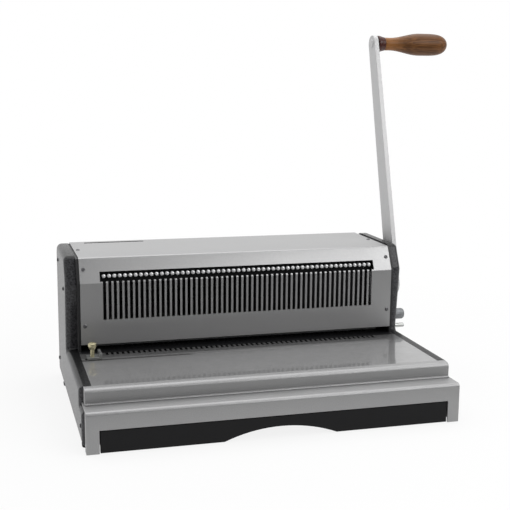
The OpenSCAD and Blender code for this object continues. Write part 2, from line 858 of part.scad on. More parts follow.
module die_beams() {
  low = table_z - die_t - die_beam_h;
  color([0.16, 0.16, 0.17]) {
    along_x(-plate_in, plate_in)
      polygon([[comb_rear - die_beam_front, low], [punch_y - chip_gap, low],
        [punch_y - chip_gap, table_z - die_t], [comb_rear, table_z - die_t],
        [comb_rear, table_z - table_t], [comb_rear - die_beam_front, table_z - table_t]]);
    slab([-plate_in, punch_y + die_back - die_beam_rear, low],
      [plate_in, punch_y + die_back, table_z - die_t]);
  }
}

module die_plate() {
  color([0.3, 0.3, 0.31])
    difference() {
      slab([-plate_in, comb_rear, table_z - die_t], [plate_in, punch_y + die_back, table_z]);
      for (i = [0 : die_n - 1])
        translate([die_x0 + i * pitch, punch_y, table_z - die_t - 1])
          cylinder(h = die_t + 2, d = punch_dia + 2 * punch_clear, $fn = 32);
    }
}

module guide_block() {
  color([0.12, 0.12, 0.13])
    difference() {
      slab([-plate_in, punch_y - guide_d / 2, guide_z], [plate_in, punch_y + guide_d / 2, guide_top]);
      for (i = [0 : die_n - 1])
        translate([die_x0 + i * pitch, punch_y, guide_z - 1])
          cylinder(h = guide_h + 2, d = punch_dia + 2 * punch_clear, $fn = 32);
      for (side = [-1, 1])
        translate([side * column_x, punch_y, guide_z - 1])
          cylinder(h = guide_h + 2, d = column_dia, $fn = 64);
    }
}

module guide_columns() {
  color([0.75, 0.75, 0.76])
    for (side = [-1, 1])
      translate([side * column_x, punch_y, guide_z])
        cylinder(h = ram_z + ram_h + column_up - guide_z, d = column_dia, $fn = 64);
}

module rear_tie_bar() {
  color([0.55, 0.55, 0.56])
    rod_x(-plate_in, plate_in, base_rear - tie_back, tie_z, tie_dia);
}

module bush(side) {
  color([0.72, 0.56, 0.28])
    difference() {
      union() {
        rod_x(side > 0 ? plate_in : -plate_out, side > 0 ? plate_out : -plate_in, shaft_y, shaft_z, bush_dia);
        rod_x(side > 0 ? plate_in - bush_flange_t : -plate_in, side > 0 ? plate_in : bush_flange_t - plate_in,
          shaft_y, shaft_z, bush_flange);
      }
      rod_x(side * plate_in - 20, side * plate_in + 20, shaft_y, shaft_z, shaft_dia + 2 * shaft_clear);
    }
}

module left_bush() {
  bush(-1);
}

module right_bush() {
  bush(1);
}

module runner(side) {
  low = tray_z - tray_run - runner_t;
  y0 = base_front + runner_front;
  y1 = tray_rear - runner_short;
  color([0.55, 0.55, 0.56]) {
    slab([side > 0 ? plate_in - runner_lip : -plate_in, y0, low],
      [side > 0 ? plate_in : runner_lip - plate_in, y1, low + runner_t]);
    slab([side > 0 ? plate_in - runner_t : -plate_in, y0, low],
      [side > 0 ? plate_in : runner_t - plate_in, y1, low + runner_h]);
  }
}

module left_runner() {
  runner(-1);
}

module right_runner() {
  runner(1);
}

module rubber_feet() {
  color([0.05, 0.05, 0.05])
    for (side = [-1, 1], p = [[foot_x, foot_front_y], [foot_x + foot_out, foot_rear_y]])
      translate([side * p[0], p[1], 0])
        cylinder(h = foot_h, d1 = foot_dia - 1, d2 = foot_dia, $fn = 48);
}

module cover_screws() {
  color([0.2, 0.2, 0.21])
    at_cover_screws()
      screw();
}

module cheek_screws() {
  color([0.2, 0.2, 0.21])
    for (side = [-1, 1])
      at_cheek_screws(side)
        screw();
}

module rear_screws() {
  color([0.2, 0.2, 0.21])
    at_rear_screws()
      screw();
}

module knob_stop_pin() {
  color([0.6, 0.6, 0.61])
    rod_x(cheek_out, cheek_out + stop_l, face_y + rim_setback + stop_back, rail_z + stop_up, stop_dia);
}

// one coil spring standing on the guide block
module return_spring(side) {
  rings = spring_turns * 14;
  sides = 6;
  low = guide_top + spring_wire / 2;
  rise = ram_z - guide_top - spring_wire;
  points = [for (k = [0 : rings], j = [0 : sides - 1])
    let (a = k * 360 / 14, b = j * 360 / sides, r = spring_r + spring_wire / 2 * cos(b))
    [r * cos(a), r * sin(a), low + rise * k / rings + spring_wire / 2 * sin(b)]];
  skin = [for (k = [0 : rings - 1], j = [0 : sides - 1])
    let (a = k * sides + j, b = k * sides + (j + 1) % sides)
    each [[a, b, b + sides], [a, b + sides, a + sides]]];
  caps = [[for (j = [sides - 1 : -1 : 0]) j], [for (j = [0 : sides - 1]) rings * sides + j]];
  middle = [for (k = [0 : rings])
    let (a = k * 360 / 14) [spring_r * cos(a), spring_r * sin(a), rise * k / rings]];
  spans = [for (k = [0 : rings - 14], j = [10 : 14]) norm(middle[k + j] - middle[k])];
  echo(least_gap = min(spans) - spring_wire);
  color([0.6, 0.6, 0.62])
    translate([side * column_x, punch_y, 0])
      polyhedron(points = points, faces = concat(skin, caps));
}

module left_return_spring() {
  return_spring(-1);
}

module right_return_spring() {
  return_spring(1);
}

module drive_shaft() {
  color([0.65, 0.65, 0.66])
    rod_x(-plate_out - shaft_past, lever_x + lever_t + hub_l - hub_sink, shaft_y, shaft_z, shaft_dia);
}

module pinion(side) {
  color([0.5, 0.5, 0.52])
    difference() {
      translate([side * rack_x - gear_w / 2, shaft_y, shaft_z])
        rotate([90, 0, 90])
          linear_extrude(gear_w)
            rotate(180)
              gear_outline(gear_m, gear_n);
      rod_x(side * rack_x - gear_w, side * rack_x + gear_w, shaft_y, shaft_z, shaft_dia);
    }
}

module left_pinion() {
  pinion(-1);
}

module right_pinion() {
  pinion(1);
}

module shaft_collar() {
  x0 = bush_flange_t + cheek_run - plate_in;
  color([0.4, 0.4, 0.42])
    difference() {
      rod_x(x0, x0 + collar_w, shaft_y, shaft_z, collar_dia);
      rod_x(x0 - 1, x0 + collar_w + 1, shaft_y, shaft_z, shaft_dia);
    }
}

module lever_spacer() {
  color([0.5, 0.5, 0.52])
    difference() {
      rod_x(plate_out + cheek_run, lever_x, shaft_y, shaft_z, bush_dia);
      rod_x(plate_out, lever_x + 1, shaft_y, shaft_z, shaft_dia);
    }
}

// flat bar drawn upright from its pivot, then leaned back
module lever_bar() {
  low = lever_low_w / 2;
  high = lever_top_w / 2;
  a = asin((low - high) / lever_len);
  color([0.7, 0.71, 0.72])
    difference() {
      translate([lever_x, shaft_y, shaft_z])
        rotate([-lever_lean, 0, 0])
          along_x(0, lever_t)
            union() {
              circle(r = low, $fn = 96);
              translate([0, lever_len])
                circle(r = high, $fn = 96);
              polygon([[low * cos(a), low * sin(a)], [high * cos(a), lever_len + high * sin(a)],
                [-high * cos(a), lever_len + high * sin(a)], [-low * cos(a), low * sin(a)]]);
            }
      rod_x(lever_x - 1, lever_x + lever_t + 1, shaft_y, shaft_z, shaft_dia);
      rod_x(lever_x - 1, lever_x + lever_t + 1, grip_y, grip_z, bolt_dia);
    }
}

module lever_hub() {
  x0 = lever_x + lever_t;
  color([0.35, 0.35, 0.37])
    difference() {
      translate([x0, shaft_y, shaft_z])
        rotate([0, 90, 0])
          cylinder(h = hub_l, d1 = hub_dia, d2 = hub_dia - hub_taper, $fn = 64);
      rod_x(x0 - 1, x0 + hub_l - hub_sink, shaft_y, shaft_z, shaft_dia);
      rod_x(x0 + hub_l - hub_sink - 1, x0 + hub_l + 1, shaft_y, shaft_z, hub_screw_shank);
    }
}

module hub_screw() {
  x0 = lever_x + lever_t + hub_l;
  color([0.25, 0.25, 0.26]) {
    rod_x(x0 - hub_sink, x0 + hub_screw_h / 2, shaft_y, shaft_z, hub_screw_shank);
    translate([x0, shaft_y, shaft_z])
      rotate([0, 90, 0])
        cylinder(h = hub_screw_h, d1 = hub_screw_dia, d2 = hub_screw_dia - 2, $fn = 48);
  }
}

module grip_bolt() {
  color([0.45, 0.45, 0.47]) {
    rod_x(lever_x, lever_x + bolt_l, grip_y, grip_z, bolt_dia);
    translate([lever_x - bolt_head_h, grip_y, grip_z])
      rotate([0, 90, 0])
        cylinder(h = bolt_head_h, d1 = bolt_head - 3, d2 = bolt_head, $fn = 48);
  }
}

module grip_washer() {
  x0 = lever_x + lever_t;
  color([0.6, 0.6, 0.62])
    difference() {
      rod_x(x0, x0 + washer_t, grip_y, grip_z, washer_dia);
      rod_x(x0 - 1, x0 + washer_t + 1, grip_y, grip_z, bolt_dia);
    }
}

module grip_ferrule() {
  color([0.22, 0.2, 0.19])
    translate([ferrule_x, grip_y, grip_z])
      rotate([0, 90, 0])
        rotate_extrude($fn = 64)
          polygon([[bolt_dia / 2 + shaft_clear, 0], [ferrule_dia / 2 - 0.6, 0], [ferrule_dia / 2, 0.8],
            [ferrule_dia / 2, 3], [ferrule_dia / 2 - 1, 6], [grip_neck / 2 + 0.3, ferrule_l],
            [bolt_dia / 2 + shaft_clear, ferrule_l]]);
}

module wooden_grip() {
  big = grip_dia / 2;
  neck = grip_neck / 2;
  waist = grip_waist * neck;
  bore = bolt_dia / 2 + shaft_clear;
  color([0.4, 0.25, 0.15])
    translate([ferrule_x + ferrule_l, grip_y, grip_z])
      rotate([0, 90, 0])
        rotate_extrude($fn = 64)
          polygon(concat(
            [[bore, 0], [neck, 0]],
            [for (i = [0 : 10]) [waist + (big - waist) * (1 - cos(180 * i / 10)) / 2,
              grip_l * (grip_dip + (grip_full - grip_dip) * i / 10)]],
            [for (i = [1 : 9]) [big * sqrt(1 - pow(sin(90 * i / 10), grip_blunt)),
              grip_l * (grip_full + (1 - grip_full) * sin(90 * i / 10))]],
            [[0, grip_l], [0, grip_l - grip_blind + 1], [bore, grip_l - grip_blind + 1]]));
}

module ram_bar() {
  color([0.14, 0.14, 0.15])
    difference() {
      slab([-ram_w / 2, ram_y, ram_z], [ram_w / 2, ram_y + ram_d, ram_z + ram_h]);
      for (i = [0 : die_n - 1]) {
        translate([die_x0 + i * pitch, punch_y, ram_z - 1])
          cylinder(h = ram_h - ram_cap + 1, d = punch_dia, $fn = 32);
        rod_y(die_x0 + i * pitch, ram_y - 1, ram_y + ram_d - ram_wall, pin_z,
          selector_dia + 2 * selector_clear);
      }
      for (side = [-1, 1]) {
        translate([side * column_x, punch_y, ram_z - 1])
          cylinder(h = ram_h + 2, d = column_dia + 2 * column_clear, $fn = 64);
        for (x = [-rack_screw_x, rack_screw_x])
          translate([side * rack_x + x, rack_screw_y, ram_z - 1])
            cylinder(h = ram_h + 2, d = screw_dia, $fn = 32);
      }
    }
}

module rack(side) {
  color([0.5, 0.5, 0.52])
    difference() {
      translate([side * rack_x + rack_w / 2, rack_y, shaft_z])
        rotate([90, -90, -90])
          linear_extrude(rack_w)
            rack_outline(gear_m, ram_z - rack_h - shaft_z, ram_z - shaft_z, rack_body);
      for (x = [-rack_screw_x, rack_screw_x])
        translate([side * rack_x + x, rack_screw_y, ram_z - rack_screw_l])
          cylinder(h = rack_screw_l + 1, d = screw_dia, $fn = 32);
    }
}

module left_rack() {
  rack(-1);
}

module right_rack() {
  rack(1);
}

module rack_screws() {
  color([0.25, 0.25, 0.26])
    for (side = [-1, 1], x = [-rack_screw_x, rack_screw_x])
      translate([side * rack_x + x, rack_screw_y, ram_z - rack_screw_l]) {
        cylinder(h = ram_h + rack_screw_l, d = screw_dia, $fn = 32);
        translate([0, 0, ram_h + rack_screw_l])
          cylinder(h = screw_head_h, d = rack_screw_head, $fn = 32);
      }
}

module punches() {
  color([0.78, 0.78, 0.8])
    for (i = [0 : die_n - 1])
      difference() {
        translate([die_x0 + i * pitch, punch_y, guide_z + punch_up])
          cylinder(h = ram_z + ram_h - ram_cap - guide_z - punch_up, d = punch_dia, $fn = 32);
        rod_y(die_x0 + i * pitch, punch_y - 5, punch_y + 5, pin_z, selector_dia + 2 * selector_clear);
      }
}

// selector pin of one die: round head in the window, stem through ram and punch
module selector(i) {
  x = die_x0 + i * pitch;
  y0 = face_y + selector_in;
  color([0.88, 0.88, 0.89]) {
    rod_y(x, y0, y0 + selector_head_l, pin_z, selector_head);
    rod_y(x, y0, y0 + selector_head_l + selector_l, pin_z, selector_dia);
  }
}

module selector_bank() {
  for (i = [single_n : die_n - 1 - single_n])
    selector(i);
}

module selector_left_1() {
  selector(0);
}

module selector_left_2() {
  selector(1);
}

module selector_right_1() {
  selector(die_n - 1);
}

module selector_right_2() {
  selector(die_n - 2);
}

module depth_shaft() {
  color([0.65, 0.65, 0.66])
    rod_x(-plate_out - shaft_past, cheek_out + cheek_run + depth_knob_l - knob_cap,
      depth_y, depth_z, depth_dia);
}

module depth_pinions() {
  color([0.5, 0.5, 0.52])
    for (side = [-1, 1])
      difference() {
        translate([side * depth_at - depth_w / 2, depth_y, depth_z])
          rotate([90, 0, 90])
            linear_extrude(depth_w)
              rotate(-90)
                gear_outline(depth_m, depth_n);
        rod_x(side * depth_at - depth_w, side * depth_at + depth_w, depth_y, depth_z, depth_dia);
      }
}

module depth_knob() {
  x0 = cheek_out + cheek_run;
  color([0.5, 0.5, 0.51])
    difference() {
      union() {
        rod_x(x0, x0 + depth_knob_l - knob_edge, depth_y, depth_z, depth_knob_dia);
        translate([x0 + depth_knob_l - knob_edge, depth_y, depth_z])
          rotate([0, 90, 0])
            cylinder(h = knob_edge, d1 = depth_knob_dia, d2 = depth_knob_dia - 2 * knob_edge, $fn = 64);
      }
      rod_x(x0 - 1, x0 + depth_knob_l - knob_cap, depth_y, depth_z, depth_dia);
    }
}

module back_gauge() {
  low = table_z + gauge_gap;
  high = guide_z - gauge_gap;
  y0 = punch_y + gauge_back;
  arm_y = punch_y + guide_d / 2 + gauge_rack_gap;
  arm_end = arm_y + gauge_rack_l;
  half = gauge_arm_w / 2;
  color([0.55, 0.55, 0.57]) {
    slab([-depth_at - half, y0, low], [depth_at + half, y0 + gauge_d, high]);
    for (side = [-1, 1]) {
      slab([side * depth_at - half, y0, low], [side * depth_at + half, arm_end, high]);
      translate([side * depth_at - half, depth_y, depth_rack_z])
        rotate([90, 0, 90])
          linear_extrude(gauge_arm_w)
            rack_outline(depth_m, arm_y - depth_y, arm_end - depth_y, depth_rack_z - high);
    }
  }
}

module side_guide() {
  low = table_z + guide_lift;
  x0 = -side_at - stud_in;
  y0 = side_y - stud_in;
  color([0.66, 0.66, 0.67])
    difference() {
      union() {
        slab([x0, y0, low], [x0 + guide_plate_w, y0 + guide_plate_d, low + guide_plate_t]);
        slab([x0 + guide_plate_w - fence_t, y0, low], [x0 + guide_plate_w, y0 + fence_d, low + fence_h]);
      }
      translate([-side_at, side_y, low - 1])
        cylinder(h = guide_plate_t + 2, d = stud_dia + 2 * shaft_clear, $fn = 48);
    }
}

module guide_knob() {
  color([0.8, 0.77, 0.66])
    translate([-side_at, side_y, table_z]) {
      translate([0, 0, -table_t - stud_low])
        cylinder(h = table_t + stud_low + guide_knob_up + guide_knob_h / 8, d = stud_dia, $fn = 48);
      translate([0, 0, guide_knob_up])
        rotate_extrude($fn = 64)
          polygon([[0, 0], [stud_dia / 2 + 0.5, 0], [guide_knob_dia / 2, 0.5 * guide_knob_h],
            [guide_knob_dia / 2, guide_knob_h - 0.8], [guide_knob_dia / 2 - 0.8, guide_knob_h],
            [0, guide_knob_h]]);
    }
}

module guide_nut() {
  high = table_z - table_t - nut_gap;
  color([0.5, 0.5, 0.52])
    difference() {
      slab([-side_at - nut_w / 2, side_y - nut_d / 2, high - nut_h],
        [nut_w / 2 - side_at, side_y + nut_d / 2, high]);
      translate([-side_at, side_y, high - nut_h - 1])
        cylinder(h = nut_h + 2, d = stud_dia + 2 * shaft_clear, $fn = 48);
    }
}

// stepped sheet tray, open on top
module chip_tray() {
  x1 = plate_in - tray_inset;
  step_y = tray_y + tray_step_l;
  high = bay_z - tray_rim;
  color([0.1, 0.1, 0.11])
    difference() {
      slab([-x1, tray_y, tray_z], [x1, tray_rear, high]);
      slab([tray_t - x1, step_y + tray_t, tray_z + tray_t], [x1 - tray_t, tray_rear - tray_t, high + 1]);
      slab([tray_t - x1, tray_y + tray_t, tray_step_z + tray_t], [x1 - tray_t, step_y + 5, high + 1]);
      slab([tray_t - x1, tray_y - 1, tray_z - 1], [x1 - tray_t, step_y, tray_step_z]);
    }
}

module drawer_front() {
  x1 = cover_w / 2 - drawer_gap;
  y0 = base_front + drawer_sink;
  low = apron_clear + drawer_lift;
  r = (arch_w * arch_w / 4 + arch_h * arch_h) / 2 / arch_h;
  color([0.07, 0.07, 0.08])
    difference() {
      slab([-x1, y0, low], [x1, y0 + drawer_front_t, bay_z - drawer_gap]);
      rod_y(0, y0 - 1, y0 + drawer_front_t + 1, low + arch_h - r, 2 * r);
    }
}

placed() left_side_plate();
placed() right_side_plate();
placed() left_cheek();
placed() right_cheek();
placed() punch_cover();
placed() rear_panel();
placed() apron();
placed() nose_bar();
placed() table_plate();
placed() comb_plate();
placed() table_beams();
placed() die_beams();
placed() die_plate();
placed() guide_block();
placed() guide_columns();
placed() rear_tie_bar();
placed() left_bush();
placed() right_bush();
placed() left_runner();
placed() right_runner();
placed() rubber_feet();
placed() cover_screws();
placed() cheek_screws();
placed() rear_screws();
placed() knob_stop_pin();
placed() left_return_spring();
placed() right_return_spring();
placed() drive_shaft();
placed() left_pinion();
placed() right_pinion();
placed() shaft_collar();
placed() lever_spacer();
placed() lever_bar();
placed() lever_hub();
placed() hub_screw();
placed() grip_bolt();
placed() grip_washer();
placed() grip_ferrule();
placed() wooden_grip();
placed() ram_bar();
placed() left_rack();
placed() right_rack();
placed() rack_screws();
placed() punches();
placed() selector_bank();
placed() selector_left_1();
placed() selector_left_2();
placed() selector_right_1();
placed() selector_right_2();
placed() depth_shaft();
placed() depth_pinions();
placed() depth_knob();
placed() back_gauge();
placed() side_guide();
placed() guide_knob();
placed() guide_nut();
placed() chip_tray();
placed() drawer_front();
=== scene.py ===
import math

import bmesh
import bpy
import numpy as np
from mathutils import Matrix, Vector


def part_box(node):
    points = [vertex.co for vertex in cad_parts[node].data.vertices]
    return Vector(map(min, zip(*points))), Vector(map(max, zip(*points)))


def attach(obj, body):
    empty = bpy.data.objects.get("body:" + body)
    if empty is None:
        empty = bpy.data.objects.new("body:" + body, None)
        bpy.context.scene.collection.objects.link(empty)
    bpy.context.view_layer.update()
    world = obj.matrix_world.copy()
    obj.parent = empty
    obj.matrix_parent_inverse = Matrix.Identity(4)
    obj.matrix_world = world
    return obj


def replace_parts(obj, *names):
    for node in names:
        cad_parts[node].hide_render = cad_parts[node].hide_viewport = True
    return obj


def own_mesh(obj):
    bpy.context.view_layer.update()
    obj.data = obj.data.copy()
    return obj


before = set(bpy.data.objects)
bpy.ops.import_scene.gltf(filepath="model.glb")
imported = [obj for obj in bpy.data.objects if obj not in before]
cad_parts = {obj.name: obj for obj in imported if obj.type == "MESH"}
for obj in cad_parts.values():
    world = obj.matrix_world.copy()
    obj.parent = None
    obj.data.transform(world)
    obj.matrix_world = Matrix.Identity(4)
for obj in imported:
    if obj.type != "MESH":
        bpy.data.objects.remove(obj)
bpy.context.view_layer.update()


# Steel frame of the coil binding machine: side plates, beams under table and die, drawer runners.
# Cut from sheet and bar, screwed together and sprayed semi-matt black before assembly.
# Only edges of it show, in the throat and from underneath.
MM = 0.001


def linear(code):
    """An sRGB hex colour as linear light with full cover."""
    parts = np.array([int(code[i:i + 2], 16) for i in (0, 2, 4)]) / 255
    light = np.where(parts <= 0.04045, parts / 12.92, ((parts + 0.055) / 1.055) ** 2.4)
    return (*light.tolist(), 1.0)


def add(tree, kind, fed=None, **settings):
    """One node with its settings; each named socket gets a number, a colour or the socket that feeds it."""
    node = tree.nodes.new("ShaderNode" + kind)
    for name, value in settings.items():
        setattr(node, name, value)
    for name, value in (fed or {}).items():
        if isinstance(value, bpy.types.NodeSocket):
            tree.links.new(value, node.inputs[name])
        else:
            node.inputs[name].default_value = value
    return node


def mixed_pot(name):
    """An empty finish with its node tree and the piece's own coordinates in metres."""
    finish = bpy.data.materials.new(name)
    finish.use_nodes = True
    tree = finish.node_tree
    tree.nodes.clear()
    return finish, tree, add(tree, "TexCoord").outputs["Object"]


def per_mm(size):
    """Texture scale at which one feature is that many millimetres wide."""
    return 1 / (size * MM)


# Turns edges sharper than 30 degrees hard and shades the rest round.
HARD_FROM = math.radians(30)
round_shading = bpy.data.node_groups.new("round_shading", "GeometryNodeTree")
for way in ("INPUT", "OUTPUT"):
    round_shading.interface.new_socket("Geometry", in_out=way, socket_type="NodeSocketGeometry")
taken = round_shading.nodes.new("NodeGroupInput")
bare = round_shading.nodes.new("GeometryNodeRemoveAttribute")
bare.inputs["Name"].default_value = "custom_normal"
soft = round_shading.nodes.new("GeometryNodeSetShadeSmooth")
soft.domain = "FACE"
hard = round_shading.nodes.new("GeometryNodeSetShadeSmooth")
hard.domain = "EDGE"
hard.inputs["Shade Smooth"].default_value = False
turn = round_shading.nodes.new("GeometryNodeInputMeshEdgeAngle")
steep = round_shading.nodes.new("FunctionNodeCompare")
steep.operation = "GREATER_THAN"
steep.inputs[1].default_value = HARD_FROM
given = round_shading.nodes.new("NodeGroupOutput")
for start, end in ((taken.outputs[0], bare.inputs["Geometry"]), (bare.outputs[0], soft.inputs["Geometry"]),
                   (soft.outputs[0], hard.inputs["Geometry"]), (turn.outputs[0], steep.inputs[0]),
                   (steep.outputs[0], hard.inputs["Selection"]), (hard.outputs[0], given.inputs[0])):
    round_shading.links.new(start, end)

WELD_GAP, FLAT_WITHIN, BREAK_FROM = 1e-6, math.radians(0.2), math.radians(40)


def dress(finish, broken_edge, *names):
    """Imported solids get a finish; their sharp edges are broken by that many millimetres."""
    for name in names:
        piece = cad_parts[name]
        for place in piece.material_slots:
            place.material = finish
        piece.modifiers.new("weld", "WELD").merge_threshold = WELD_GAP
        whole_faces = piece.modifiers.new("whole_faces", "DECIMATE")
        whole_faces.decimate_type, whole_faces.angle_limit = "DISSOLVE", FLAT_WITHIN
        piece.modifiers.new("round_shading", "NODES").node_group = round_shading
        if broken_edge:
            bevel = piece.modifiers.new("broken_edge", "BEVEL")
            bevel.width = broken_edge * MM
            bevel.segments = 2
            bevel.limit_method = "ANGLE"
            bevel.angle_limit = BREAK_FROM
            bevel.harden_normals = True


# Sprayed semi-matt black on steel: a faint pebble from the spray and dust in it.
# A colour mix takes its share at socket 0 and its colours at 6 and 7, and gives the mix at 2.
frame_black, tree, place = mixed_pot("semi_matt_black_spray")
pebble = add(tree, "TexNoise", {"Vector": place, "Scale": per_mm(1.4), "Detail": 3})
dust = add(tree, "TexNoise", {"Vector": place, "Scale": per_mm(25), "Detail": 5})
tone = add(tree, "Mix", {0: dust.outputs[0], 6: linear("161617"), 7: linear("2b2b2d")}, data_type="RGBA")
dull = add(tree, "MapRange", {"Value": dust.outputs[0], "To Min": 0.42, "To Max": 0.6})
skin_bump = add(tree, "Bump", {"Height": pebble.outputs[0], "Strength": 0.25, "Distance": 0.1 * MM})
shader = add(tree, "BsdfPrincipled", {
    "Base Color": tone.outputs[2], "Roughness": dull.outputs[0], "Normal": skin_bump.outputs[0]})
add(tree, "OutputMaterial", {"Surface": shader.outputs[0]})
dress(frame_black, 0.3, "left_side_plate", "right_side_plate", "table_beams", "die_beams", "rear_tie_bar")

# Bright zinc on pressed steel: bluish passivation clouds over a fine rolled grain.
zinc_plate, tree, place = mixed_pot("blue_zinc_plate")
cloud = add(tree, "TexNoise", {"Vector": place, "Scale": per_mm(12), "Detail": 4})
rolled = add(tree, "Mapping", {"Vector": place, "Scale": (1, 0.04, 1)})
grain = add(tree, "TexNoise", {"Vector": rolled.outputs[0], "Scale": per_mm(0.5), "Detail": 2})
tone = add(tree, "Mix", {0: cloud.outputs[0], 6: linear("a3a7ab"), 7: linear("c3c3bd")}, data_type="RGBA")
dull = add(tree, "MapRange", {"Value": grain.outputs[0], "To Min": 0.26, "To Max": 0.42})
shader = add(tree, "BsdfPrincipled", {
    "Base Color": tone.outputs[2], "Roughness": dull.outputs[0], "Metallic": 1.0})
add(tree, "OutputMaterial", {"Surface": shader.outputs[0]})
dress(zinc_plate, 0.25, "left_runner", "right_runner")


# Die set: die plate with 54 holes, punch guide above it, two columns, ram bar and 54 punches.
# Tool steel, hardened and blacked in hot salts, with the columns ground bright.
# It sits behind the cover and shows as a dark edge in the throat and window.
blacked_steel, tree, place = mixed_pot("blacked_tool_steel")
mottle = add(tree, "TexNoise", {"Vector": place, "Scale": per_mm(5), "Detail": 5, "Roughness": 0.6})
tone = add(tree, "Mix", {0: mottle.outputs[0], 6: linear("111112"), 7: linear("1f1f22")}, data_type="RGBA")
dull = add(tree, "MapRange", {"Value": mottle.outputs[0], "To Min": 0.5, "To Max": 0.65})
shader = add(tree, "BsdfPrincipled", {
    "Base Color": tone.outputs[2], "Roughness": dull.outputs[0], "Metallic": 0.3, "Specular IOR Level": 0.3})
add(tree, "OutputMaterial", {"Surface": shader.outputs[0]})
dress(blacked_steel, 0, "die_plate", "guide_block", "ram_bar", "punches")
dress(blacked_steel, 0.15, "rack_screws")

# Ground steel: fine wheel marks across the bar, drawn at 0.8 mm so that they show.
ground_steel, tree, place = mixed_pot("ground_steel")
across_bar = add(tree, "Mapping", {"Vector": place, "Scale": (1, 0.1, 0.1)})
wheel = add(tree, "TexNoise", {"Vector": across_bar.outputs[0], "Scale": per_mm(0.8), "Detail": 3})
tone = add(tree, "Mix", {0: wheel.outputs[0], 6: linear("97999c"), 7: linear("b4b6b8")}, data_type="RGBA")
dull = add(tree, "MapRange", {"Value": wheel.outputs[0], "To Min": 0.2, "To Max": 0.36})
shader = add(tree, "BsdfPrincipled", {
    "Base Color": tone.outputs[2], "Roughness": dull.outputs[0], "Metallic": 1.0})
add(tree, "OutputMaterial", {"Surface": shader.outputs[0]})
dress(ground_steel, 0.3, "guide_columns")


# Return springs: two coils of round music wire round the columns, ends closed.
# Wound cold and zinc plated, they stand on the punch guide and push the ram up.
MERGE_GAP, CRISP_FROM = 1e-7, math.radians(35)


def shell_mesh(name, sheets, wrap_u=False):
    """A mesh over k grids of m by n points in millimetres: neighbours join into quads, across the seam in n
    (and in m if wrapped); poles are merged and faces turned outwards."""
    sheets = np.asarray(sheets, float) * MM
    k, m, n, _ = sheets.shape
    u, v = np.meshgrid(np.arange(m if wrap_u else m - 1), np.arange(n), indexing="ij")
    after_u, after_v = (u + 1) % m, (v + 1) % n
    quads = np.stack([u * n + v, after_u * n + v, after_u * n + after_v, u * n + after_v], -1).reshape(-1, 4)
    quads = (quads[None] + (np.arange(k) * m * n)[:, None, None]).reshape(-1, 4)
    mesh = bpy.data.meshes.new(name)
    mesh.from_pydata(sheets.reshape(-1, 3).tolist(), [], quads.tolist())
    shell = bmesh.new()
    shell.from_mesh(mesh)
    bmesh.ops.remove_doubles(shell, verts=shell.verts, dist=MERGE_GAP)
    bmesh.ops.dissolve_degenerate(shell, edges=shell.edges, dist=MERGE_GAP / 10)
    bmesh.ops.recalc_face_normals(shell, faces=shell.faces)
    shell.to_mesh(mesh)
    shell.free()
    return mesh


def keep_crisp(mesh):
    """Round shading, with edges over 35 degrees kept crisp."""
    mesh.polygons.foreach_set("use_smooth", np.ones(len(mesh.polygons), bool))
    mesh.set_sharp_from_angle(angle=CRISP_FROM)


def skinned(name, sheets, finish, body, wrap_u=False):
    """A piece over grids of points that rides on a body and has its own slot."""
    mesh = shell_mesh(name, sheets, wrap_u)
    keep_crisp(mesh)
    mesh.materials.append(finish)
    piece = bpy.data.objects.new(name, mesh)
    bpy.context.scene.collection.objects.link(piece)
    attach(piece, body)
    return piece


def span(node):
    """Lowest corner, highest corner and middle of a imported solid, in millimetres."""
    low, high = (np.array(corner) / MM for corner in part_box(node))
    return low, high, (low + high) / 2


WIRE, TURNS, RAM_STROKE = 1.4, 8, 13.75
POINTS_A_TURN, WIRE_SIDES, END_SLOWING = 24, 10, 0.04


def coil_wire(low, high):
    """Round wire on a helix that fills a box; it rises more slowly near both ends, as t less a share of
    sin(2 pi t), and a flat cap closes each end of the wire."""
    t = np.linspace(0, 1, TURNS * POINTS_A_TURN + 1)
    angle = 2 * math.pi * TURNS * t
    coil_r = (high[0] - low[0] - WIRE) / 2
    x, y = (low[:2] + high[:2]) / 2
    rise = (high[2] - low[2] - WIRE) * (t - END_SLOWING * np.sin(2 * math.pi * t))
    core = np.stack([x + coil_r * np.cos(angle), y + coil_r * np.sin(angle), low[2] + WIRE / 2 + rise], -1)
    out = np.stack([np.cos(angle), np.sin(angle), 0 * angle], -1)
    round_wire = np.linspace(0, 2 * math.pi, WIRE_SIDES, endpoint=False)
    ring = WIRE / 2 * (np.cos(round_wire)[None, :, None] * out[:, None]
                       + np.sin(round_wire)[None, :, None] * np.array([0, 0, 1.0]))
    tube = core[:, None] + ring
    caps = [np.repeat(end.mean(1, keepdims=True), WIRE_SIDES, 1) for end in (tube[:1], tube[-1:])]
    return np.concatenate([caps[0], tube, caps[1]])[None]


for side in ("left", "right"):
    low, high, middle = span(side + "_return_spring")
    spring = skinned(side + "_spring_wire", coil_wire(low, high), zinc_plate, "frame")
    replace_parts(spring, side + "_return_spring")
    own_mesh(spring)


# Drive: shaft in two bushes, pinions and racks that push the ram, a collar and the lever's spacer.
# Shaft and gears are turned and cut from steel bar; the bushes are pressed from bronze powder.
# All of it is inside, apart from what the cheeks let through.
dress(blacked_steel, 0.2, "drive_shaft", "left_pinion", "right_pinion", "left_rack", "right_rack",
      "shaft_collar", "lever_spacer")

